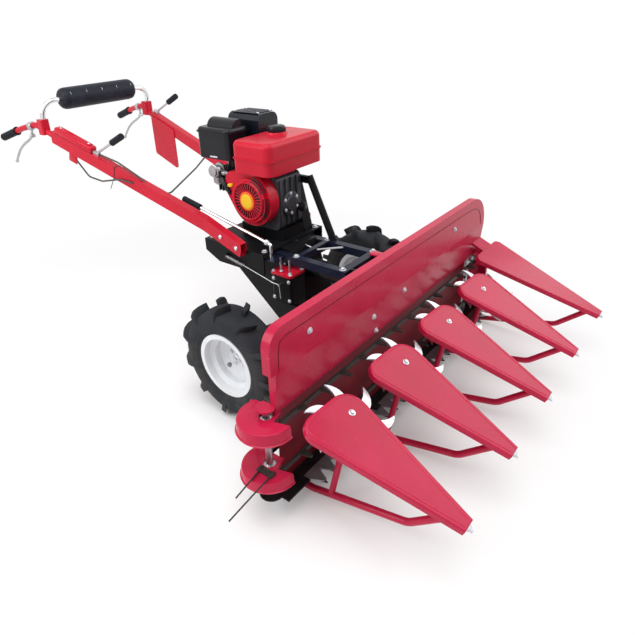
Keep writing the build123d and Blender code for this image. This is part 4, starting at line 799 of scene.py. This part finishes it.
# %% Engine case
case_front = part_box("engine_block")[1].x
CASE_COVER = (0.020, 0.640)
COVER_STEPS = [(-0.002, 0.046), (0.009, 0.046), (0.012, 0.041), (0.012, 0.030), (0.016, 0.027)]
COVER_SCREWS = 6
SCREW_CIRCLE = 0.037
OIL_PLUG = [(-0.002, 0.013), (0.014, 0.013), (0.015, 0.019), (0.026, 0.018), (0.028, 0.014)]
RIB_FOOT, RIB_TOP, RIB_WIDTH = 0.560, 0.735, 0.007
SHIELD_TOP = 0.938


def on_case(out, y, z):
    """A point on the front of the engine case, or a little way out from it."""
    return Vector((case_front + out, ZERO.y + y, z))


case_ribs = [block(on_case(-0.003, y, RIB_FOOT), on_case(0.007, y + RIB_WIDTH, RIB_TOP), 0.002)
             for y in (-0.030, 0.000, 0.030, 0.062)]
case_ribs.append(turned(on_case(0, *CASE_COVER), FORWARD, COVER_STEPS, 36))
dressed(joined(case_ribs), "case_ribs", ENGINE)
plug = turned(on_case(0, 0.076, 0.612), FORWARD, OIL_PLUG, 10)
dressed(plug, "oil_plug", PLASTIC)
spots = []
for index in range(COVER_SCREWS):
    angle = radians(30) + 2 * pi * index / COVER_SCREWS
    y, z = CASE_COVER[0] + SCREW_CIRCLE * cos(angle), CASE_COVER[1] + SCREW_CIRCLE * sin(angle)
    spots.append((on_case(0.011, y, z), FORWARD))
spots += [(at(x, y, SHIELD_TOP), UPRIGHT) for x in (-0.412, -0.290) for y in (0.090, 0.160)]
dressed(set_of(hexagon_bolt(0.0045, 0.005), spots), "engine_screws", ZINC)

# %% [markdown]
# ## Fuel cap
# The cap is a black moulded disc with grip ridges round its edge, on a red neck that stands out of
# the tank. One ridge is copied round the cap; the neck is a hollow ring.

# %% Fuel cap
cap_low, cap_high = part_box("fuel_cap")
CAP = Vector(((cap_low.x + cap_high.x) / 2, (cap_low.y + cap_high.y) / 2, cap_low.z))
CAP_RIDGES = 24
CAP_STEPS = [(0.006, 0.033), (0.009, 0.0338), (0.020, 0.0338), (0.0262, 0.0315), (0.029, 0.026),
             (0.030, 0.010)]
NECK = [(-0.004, 0.042), (0.004, 0.039), (0.007, 0.037), (0.007, 0.030), (-0.004, 0.030),
        (-0.004, 0.042)]
cap = [turned(CAP, UPRIGHT, CAP_STEPS, 40)]
ridge_low, ridge_high = Vector((0.0325, -0.0022, 0.008)), Vector((0.0350, 0.0022, 0.021))
cap += ring_of(block(CAP + ridge_low, CAP + ridge_high, 0.0008, 1), CAP, UPRIGHT, CAP_RIDGES)
cap = dressed(joined(cap), "ribbed_fuel_cap", PLASTIC)
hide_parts("fuel_cap")
dressed(turned(CAP, UPRIGHT, NECK, 40, hollow=True), "filler_neck", RED)

# %% [markdown]
# ## Air cleaner and silencer
# The air cleaner's lid ends in a thin lip with round corners, so only the upright edges of a flat
# box are bevelled. A plated clip sits below, and pressed bars cross the silencer's shield.

# %% Air cleaner and silencer
LIP_PLACE = at(-0.394, 0, 0.884)
LIP_SIZE = (0.177, 0.125, 0.006)
LIP_CORNER = 0.016
SHIELD_BARS = 6
BAR_PITCH, BAR_WIDTH = 0.016, 0.007
only()
bpy.ops.mesh.primitive_cube_add(size=1, location=LIP_PLACE)
lip = bpy.context.object
lip.scale = LIP_SIZE
bpy.ops.object.transform_apply()
pick(lip, lambda place, way: abs(way.z) > 0.9, "EDGE")
bpy.ops.mesh.bevel(offset=LIP_CORNER, segments=5, affect="EDGES")
mode("OBJECT")
dressed(lip, "cleaner_lip", PLASTIC)
clip = block(at(-0.412, -0.0625, 0.790), at(-0.372, -0.058, 0.797), 0.0015)
dressed(clip, "cleaner_clip", ZINC)
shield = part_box("muffler")[1].z
bars = []
for row in range(SHIELD_BARS):
    y = 0.082 + BAR_PITCH * row
    low, high = at(-0.418, y, shield - 0.002), at(-0.284, y + BAR_WIDTH, shield + 0.003)
    bars.append(block(low, high, 0.0015))
dressed(joined(bars), "silencer_bars", BLUED)

# %% [markdown]
# ## Cable box on the right handle
# A low box with a raised lid covers the cables. The handle runs at a slant, so the box is made flat
# at the origin, and one matrix lays it along the handle.

# %% Cable box
ALONG = Vector((0.838, 0.077, -0.258)).normalized()
ACROSS = Vector((-0.077, 0.838, 0)).normalized()
ABOVE = ALONG.cross(ACROSS)
HANDLE_FACE = at(-1.168, -0.267, 0.836) + ABOVE * 0.025
ON_HANDLE = Matrix.Translation(HANDLE_FACE) @ Matrix((ALONG, ACROSS, ABOVE)).transposed().to_4x4()
LID_TOP = 0.030
box = joined([block((0.022, -0.0165, -0.001), (0.256, 0.0165, 0.027), 0.007, 3),
              block((0.036, -0.012, 0.025), (0.238, 0.012, LID_TOP), 0.002),
              block((0.100, -0.0025, -0.096), (0.150, 0.0025, -0.048), 0.0015)])
box.data.transform(ON_HANDLE)
box = dressed(box, "cable_box", RED)
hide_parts("control_box")
spots = [(ON_HANDLE @ Vector((x, 0, LID_TOP)), ABOVE) for x in (0.050, 0.224)]
dressed(set_of(dome_bolt(0.005, 0.003), spots), "box_screws", ZINC)

# %% [markdown]
# ## Ribbed grips
# The hand grips are soft rubber with a collar, nine round ribs and a closed end. A grip is one
# turned profile, and a loop writes the four steps of each rib.

# %% Ribbed grips
GRIP_RIBS = 9
RIB_PITCH = 0.0125
grip_profile = [(0.0449, 0.0132), (0.0459, 0.0195), (0.0492, 0.0195), (0.0502, 0.0158)]
for index in range(GRIP_RIBS):
    start = 0.053 + RIB_PITCH * index
    grip_profile += [(start, 0.0156), (start + 0.003, 0.0170), (start + 0.0092, 0.0170),
                     (start + 0.0122, 0.0156)]
grip_profile += [(0.1665, 0.0168), (0.1692, 0.0140), (0.1699, 0.0080)]
grips = []
for side in (-1, 1):
    root, tip = at(-1.375, side * 0.297, 0.855), at(-1.530, side * 0.318, 0.806)
    grips.append(turned(root, tip - root, grip_profile, 28))
grips = dressed(joined(grips), "ribbed_grips", GRIP)
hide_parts("handle_grips")

# %% [markdown]
# ## Clutch levers
# A bent aluminium lever hangs under each grip: a collar round the tube, a pivot, a curved blade and
# a ball at its end. The blade is a soft rod, and the rest is turned.

# %% Clutch levers
BLADE = [(-1.304, 0.290, 0.862), (-1.308, 0.292, 0.828), (-1.345, 0.295, 0.804),
         (-1.400, 0.298, 0.781), (-1.458, 0.301, 0.742), (-1.497, 0.303, 0.695)]
BALL = [(-0.008, 0.0052), (-0.003, 0.0074), (0.003, 0.0074), (0.008, 0.0040)]
COLLAR = [(-0.012, 0.0130), (-0.012, 0.0175), (-0.010, 0.0185), (0.010, 0.0185), (0.012, 0.0175),
          (0.012, 0.0130), (-0.012, 0.0130)]
PIVOT = [(0.0, 0.006), (0.002, 0.0085), (0.020, 0.0085), (0.022, 0.006)]
PIVOT_HALF = 0.011
blades = []
for side in (-1, 1):
    path = [at(x, side * y, z) for x, y, z in BLADE]
    tube = Vector((-0.103, side * 0.015, -0.023))
    blades.append(rod(path, 0.0055, soft=True))
    blades.append(turned(path[-1], path[-1] - path[-2], BALL, 16))
    blades.append(turned(at(-1.3055, side * 0.2869, 0.8704), tube, COLLAR, 28, hollow=True))
    blades.append(turned(path[1] - LEFT * PIVOT_HALF, LEFT, PIVOT, 16))
blades = dressed(joined(blades), "clutch_blades", ALUMINIUM)
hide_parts("clutch_levers")

# %% [markdown]
# ## Cable tie
# A black tie holds the cables to the right handle. Its band is a thin block round the tube and its
# loose end a soft rod, both laid along the handle by its matrix.

# %% Cable tie
TIE_END = [Vector((0.396, -0.0164, -0.050)), Vector((0.392, -0.020, -0.074)),
           Vector((0.380, -0.017, -0.104))]
tie = joined([block((0.3935, -0.0164, -0.0514), (0.3985, 0.0164, 0.0014), 0.0012, 1),
              rod(TIE_END, 0.0014, soft=True)])
tie.data.transform(ON_HANDLE)
dressed(tie, "cable_tie", PLASTIC)

# %% [markdown]
# ## Stuffed roll
# A stuffed roll is tied round the cross bar for the operator to lean on. It is a padded piece: a
# slim turned form is meshed evenly, its stapled points are held, and air pressure swells the rest
# up to a limit.

# %% Sizes of the roll
roll_low, roll_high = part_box("hand_roll")
ROLL = (roll_low + roll_high) / 2
ROLL_HALF = (roll_high.y - roll_low.y) / 2
ROLL_RADIUS = (roll_high.z - roll_low.z) / 2
SEAM = Vector((cos(radians(28)), 0, sin(radians(28))))
STAPLE_ROW = ROLL + SEAM * (ROLL_RADIUS - 0.006)
STAPLES = [STAPLE_ROW + LEFT * (ROLL_HALF - 0.035) * (step / 2 - 1) for step in range(5)]
MESH_SIZE = 0.006
TIED_REACH = 0.011
AIR_PRESSURE = 4
SWELLING_STEPS = 20
SWELLING = 0.004


# %% Swelling
def stuffed(piece, held, limit):
    """Swell a closed form with air pressure while its stapled points stay put."""
    only(piece)
    piece.modifiers.new("even_mesh", "REMESH").voxel_size = MESH_SIZE
    bpy.ops.object.modifier_apply(modifier="even_mesh")
    points = piece.data.vertices
    near = [point.index for point in points
            if min((point.co - spot).length for spot in held) < TIED_REACH]
    piece.vertex_groups.new(name="ties").add(near, 1.0, "REPLACE")
    before = [point.co.copy() for point in points]
    cloth = piece.modifiers.new("cloth", "CLOTH")
    cloth.settings.vertex_group_mass = "ties"
    cloth.settings.use_pressure = True
    cloth.settings.uniform_pressure_force = AIR_PRESSURE
    cloth.settings.effector_weights.gravity = 0
    for moment in range(1, SWELLING_STEPS + 1):
        SCENE.frame_set(moment)
    bpy.ops.object.modifier_apply(modifier="cloth")
    SCENE.frame_set(1)
    for point, start in zip(piece.data.vertices, before):
        move = point.co - start
        if move.length > limit:
            point.co = start + move.normalized() * limit
    smooth = piece.modifiers.new("smooth", "SUBSURF")
    smooth.levels = smooth.render_levels = 1
    bpy.ops.object.modifier_apply(modifier="smooth")


# %% Stuffed roll
slim = ROLL_RADIUS - SWELLING
ROLL_END = [(0.003, 0.55), (0.008, 0.82), (0.018, 0.96), (0.030, 1.0)]
roll_profile = [(-ROLL_HALF + inset, slim * share) for inset, share in ROLL_END]
roll_profile += [(ROLL_HALF - inset, slim * share) for inset, share in reversed(ROLL_END)]
roll = turned(ROLL, LEFT, roll_profile, 48)
stuffed(roll, STAPLES, SWELLING)
roll = dressed(roll, "stuffed_roll", ROLL_COVER, angle=60)
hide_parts("hand_roll")

# %% [markdown]
# ## Staples
# Bright staples close the roll's cover. Each is a short wire bent down at both ends, laid across
# the seam at one of the points that were held.

# %% Staples
tangent = LEFT.cross(SEAM)
STAPLE_BENDS = [(0.002, -0.006), (0.0062, -0.005), (0.0062, 0.005), (0.002, 0.006)]
staples = []
for spot in STAPLES:
    bends = [spot + SEAM * out + tangent * along for out, along in STAPLE_BENDS]
    staples.append(rod(bends, 0.0009))
dressed(joined(staples), "roll_staples", ALUMINIUM)

# %% [markdown]
# ## Rods, springs and studs round the gearbox
# A return spring and a thin pull rod run along the right side to the gear case, whose red lid
# carries two tall studs. Straight rods are lines with a round section; a spring is the same line
# wound into a helix.

# %% Coil spring
POINTS_PER_TURN = 10


def coil(start, end, radius, turns, thickness):
    """A coil spring between two points."""
    axis = (end - start).normalized()
    side = axis.orthogonal().normalized()
    other = axis.cross(side)
    count = turns * POINTS_PER_TURN
    points = []
    for index in range(count + 1):
        angle = 2 * pi * turns * index / count
        round_axis = (side * cos(angle) + other * sin(angle)) * radius
        points.append(start + (end - start) * (index / count) + round_axis)
    return rod(points, thickness)


# %% Rods and springs
BED_SIDE = -0.175
GEAR_SIDE = -0.162
LID_STUDS = [(-0.002, -0.150), (0.040, -0.152)]
spring_start = at(-0.243, BED_SIDE - 0.009, 0.462)
spring_end = at(-0.158, BED_SIDE - 0.009, 0.446)
crank = at(0.005, GEAR_SIDE - 0.010, 0.404)
bright = [coil(spring_start, spring_end, 0.0058, 12, 0.0011),
          rod([spring_start, spring_end, at(-0.023, -0.176, 0.408), crank], 0.0015),
          rod([at(0.005, GEAR_SIDE + 0.004, 0.404), crank - LEFT * 0.006], 0.005),
          rod([crank, at(0.008, GEAR_SIDE - 0.010, 0.352)], 0.0025)]
bright += [rod([at(x, y, 0.440), at(x, y, 0.503)], 0.0038) for x, y in LID_STUDS]
bright += [rod([at(0.036, 0.011, 0.484), at(0.104, 0.082, 0.484)], 0.0038),
           rod([at(-0.025, -0.079, 0.482), at(-0.025, 0.081, 0.482)], 0.0042),
           rod([at(-0.064, 0.012, 0.498), at(0.020, 0.012, 0.486)], 0.0034)]
dressed(joined(bright), "bright_rods", STEEL)

# %% [markdown]
# ## Nuts, a hose and a strap by the gear case
# The lid's corners, its two studs and the case's side have small nuts, and one larger nut holds the
# gear lever at its foot. A dark hose runs below the frame, and a red strap ties it to the beam.

# %% Gear case nuts, hose and strap
LID_TOP_FACE = 0.446
LEVER_WAY = Vector((-0.973, 0, 0.228))
LEVER_NUT = [(-0.006, 0.010), (0.006, 0.010), (0.0075, 0.0085)]
spots = [(at(x, y, LID_TOP_FACE), UPRIGHT) for x in (-0.034, 0.044) for y in (-0.156, -0.092)]
spots += [(at(x, y, 0.450), UPRIGHT) for x, y in LID_STUDS]
spots += [(at(x, GEAR_SIDE, z), OUTWARD) for x in (-0.030, 0.040) for z in (0.345, 0.420)]
dressed(set_of(hexagon_bolt(0.0046, 0.006), spots), "gear_lid_nuts", ZINC)
spring_foot = block(at(-0.252, BED_SIDE - 0.012, 0.452), at(-0.240, BED_SIDE + 0.002, 0.470), 0.002)
hose = [at(0.060, -0.098, 0.476), at(0.150, -0.090, 0.412), at(0.215, -0.024, 0.412)]
dressed(joined([spring_foot, rod(hose, 0.0055, soft=True)]), "dark_rods", BLACK)
strap = block(at(0.232, 0.058, 0.4915), at(0.300, 0.092, 0.499), 0.0025)
dressed(strap, "frame_strap", CRIMSON)
lever_nut = turned(at(-0.062, -0.150, 0.545), LEVER_WAY, LEVER_NUT, 6)
dressed(lever_nut, "lever_nut", ZINC)

# %% [markdown]
# ## Pressed lines of the header
# The crop panel and the dividers are pressed sheets with a fold that runs inside their edges. A
# thin bead laid along each fold reads as that line from every side. The panel's bead is dark red,
# painted shade in the fold's crease; the dividers' beads are light red, a painted highlight where
# their folds catch the light.

# %% Panel fold
PANEL_FOLD = [(-0.640, 0.470), (-0.640, 0.545), (-0.615, 0.560), (-0.560, 0.560), (0.45, 0.560),
              (0.560, 0.556), (0.612, 0.520), (0.622, 0.470)]
# Painted shade: the dark red bead stands for the shadow in the panel fold's crease.
fold = rod([at(PANEL_FACE, y, z) for y, z in PANEL_FOLD], 0.0014, soft=True)
dressed(fold, "panel_fold_shade", PAINTED_SHADE_RED)

# %% Divider folds
DIVIDER_FOLD = [(0.368, -0.012), (0.020, -0.110), (-0.046, -0.126), (-0.060, -0.090),
                (-0.056, -0.020), (-0.054, 0.044), (-0.028, 0.068), (0.012, 0.062), (0.368, 0.012)]
DOWNHILL = Vector((cos(SLOPE), 0, -sin(SLOPE)))
FOLDED_DIVIDERS = 4
FIRST_DIVIDER, DIVIDER_PITCH = -0.549, 0.300
folds = []
for number in range(FOLDED_DIVIDERS):
    middle = at(0.558, FIRST_DIVIDER + DIVIDER_PITCH * number, 0.338)
    line = [middle + DOWNHILL * down + LEFT * aside for down, aside in DIVIDER_FOLD]
    folds.append(rod(line, 0.0016, soft=True))
# Painted highlight: the light red beads stand for light caught along the folds.
dressed(joined(folds), "divider_fold_highlights", PAINTED_HIGHLIGHT_RED)

# %% [markdown]
# ## Discharge drums
# Where the chains turn at the right end, each runs inside a low drum with a notch for the crop.
# The drum is turned as a hollow ring with a top, a wall and a wider foot, and two cutters take
# away its inner side and the notch.

# %% One drum
DRUM = at(0.378, -0.668, 0)
DRUM_FLAT = 0.034
NOTCH = DRUM + Vector((0.034, -0.006, 0))
NOTCH_TURN = radians(16.6)
CUT_PAST = 0.01


def cut_away(piece, cutter):
    """Take one closed shape out of another."""
    only(piece)
    tool = piece.modifiers.new("cut", "BOOLEAN")
    tool.operation = "DIFFERENCE"
    tool.object = cutter
    bpy.ops.object.modifier_apply(modifier="cut")
    bpy.data.objects.remove(cutter)


def make_drum(foot, top):
    """A notched drum between two heights."""
    profile = [(foot, 0.018), (foot, 0.0835), (foot + 0.002, 0.084), (foot + 0.004, 0.0805),
               (top - 0.005, 0.0790), (top - 0.001, 0.0775), (top, 0.0750), (top, 0.018),
               (top - 0.003, 0.018), (top - 0.003, 0.0745), (top - 0.006, 0.0760),
               (foot + 0.003, 0.0775), (foot + 0.003, 0.018), (foot, 0.018)]
    drum = turned(DRUM, UPRIGHT, profile, 64, hollow=True)
    low = DRUM + Vector((-0.2, DRUM_FLAT, foot - CUT_PAST))
    cut_away(drum, block(low, low + Vector((0.4, 0.2, 0.1)), 0.001, 1))
    wedge = block(NOTCH + Vector((0, 0, foot - CUT_PAST)),
                  NOTCH + Vector((0.16, 0.16, top + CUT_PAST)), 0.001, 1)
    wedge.data.transform(around(NOTCH, UPRIGHT, NOTCH_TURN))
    cut_away(drum, wedge)
    return drum


# %% Both drums
drums = [make_drum(0.140, 0.171), make_drum(0.297, 0.333)]
drums.append(rod([at(0.301, -0.642, 0.066), at(0.301, -0.642, 0.331)], 0.004))

# %% [markdown]
# ## Crop rods
# Two thin spring rods reach out from a small plate on the lower drum and lay the cut crop down.
# Each is a straight rod between its root on the plate and its free tip.

# %% Crop rods
ROD_HEIGHT = 0.1752
CROP_RODS = [((-0.003, -0.022), (0.016, -0.147)), ((0.036, -0.020), (0.053, -0.208))]
rods = [block(DRUM + Vector((-0.010, -0.044, 0.171)), DRUM + Vector((0.044, -0.024, 0.176)), 0.001)]
for ends in CROP_RODS:
    rods.append(rod([DRUM + Vector((*end, ROD_HEIGHT)) for end in ends], 0.0022))
rods = dressed(joined(rods), "crop_rods", DARK_STEEL)
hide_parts("discharge_rods")
drums = dressed(joined(drums), "crop_drums", CRIMSON, angle=30)
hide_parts("discharge_guards")

# %% [markdown]
# ## Floor and surround
# A pale floor takes the machine's shadow and runs out to white. The surround lights the machine
# evenly, but rays from the camera, off metal or through glass see plain white.

# %% Floor
FLOOR_COLOUR = (0.93, 0.93, 0.93, 1)
SHADOW_REACH = (0.7, 1.9)
SURROUND_LIGHT = 0.48


def seen_plainly(tree):
    """1 for rays from the camera, off metal or through glass, and 0 for all others."""
    path = tree.nodes.new("ShaderNodeLightPath")
    seen = math_node(tree, "MAXIMUM", path.outputs["Is Camera Ray"], path.outputs["Is Glossy Ray"])
    return math_node(tree, "MAXIMUM", seen, path.outputs["Is Transmission Ray"])


def make_floor():
    """A wide pale floor that runs out to white."""
    only()
    bpy.ops.mesh.primitive_plane_add(size=60, location=(0, 0, -0.0005))
    floor = bpy.context.object
    floor.name = "floor"
    bpy.ops.object.transform_apply()
    material = bpy.data.materials.new("pale_floor")
    material.use_nodes = True
    tree = material.node_tree
    shader = tree.nodes["Principled BSDF"]
    set_inputs(shader, {"Base Color": FLOOR_COLOUR, "Roughness": 0.9, "Specular IOR Level": 0.1})
    white = tree.nodes.new("ShaderNodeEmission")
    coordinates = tree.nodes.new("ShaderNodeTexCoord")
    length = tree.nodes.new("ShaderNodeVectorMath")
    length.operation = "LENGTH"
    tree.links.new(coordinates.outputs["Object"], length.inputs[0])
    far = ramp_node(tree, length.outputs["Value"], *SHADOW_REACH)
    blend = tree.nodes.new("ShaderNodeMixShader")
    tree.links.new(math_node(tree, "MULTIPLY", far, seen_plainly(tree)), blend.inputs["Fac"])
    tree.links.new(shader.outputs["BSDF"], blend.inputs[1])
    tree.links.new(white.outputs["Emission"], blend.inputs[2])
    tree.links.new(blend.outputs["Shader"], tree.nodes["Material Output"].inputs["Surface"])
    wear(floor, material)


# %% Surround
def make_world():
    """An even surround, plain white where it is seen directly."""
    world = bpy.data.worlds.new("surround")
    SCENE.world = world
    world.use_nodes = True
    tree = world.node_tree
    surround = tree.nodes["Background"]
    surround.inputs["Color"].default_value = (1, 1, 1, 1)
    strength = ramp_node(tree, seen_plainly(tree), 0.0, 1.0, SURROUND_LIGHT, 1.0)
    tree.links.new(strength, surround.inputs["Strength"])


make_floor()
make_world()
print("surround light:", SURROUND_LIGHT)

# %% [markdown]
# ## Lamps
# Three large soft lamps light the machine: one from above, one from the right rear that brightens
# the sides of the tank and handles, and a weak one from the front left.

# %% Lamps
def make_lamp(name, place, target, size, power):
    """A soft square lamp that faces a point."""
    light = bpy.data.lights.new(name, "AREA")
    light.size = size
    light.energy = power
    lamp = bpy.data.objects.new(name, light)
    SCENE.collection.objects.link(lamp)
    lamp.location = place
    lamp.rotation_euler = (target - place).to_track_quat("-Z", "Y").to_euler()
    print(name, power, "watts")


make_lamp("key_lamp", at(0.5, -1.0, 4.0), at(0, 0, 0.3), 3.0, 90)
make_lamp("side_lamp", at(-1.5, -2.8, 2.3), at(-0.2, 0, 0.5), 2.2, 60)
make_lamp("fill_lamp", at(1.8, 2.6, 2.6), at(0, 0, 0.4), 2.6, 45)
SCENE.view_settings.view_transform = "Standard"
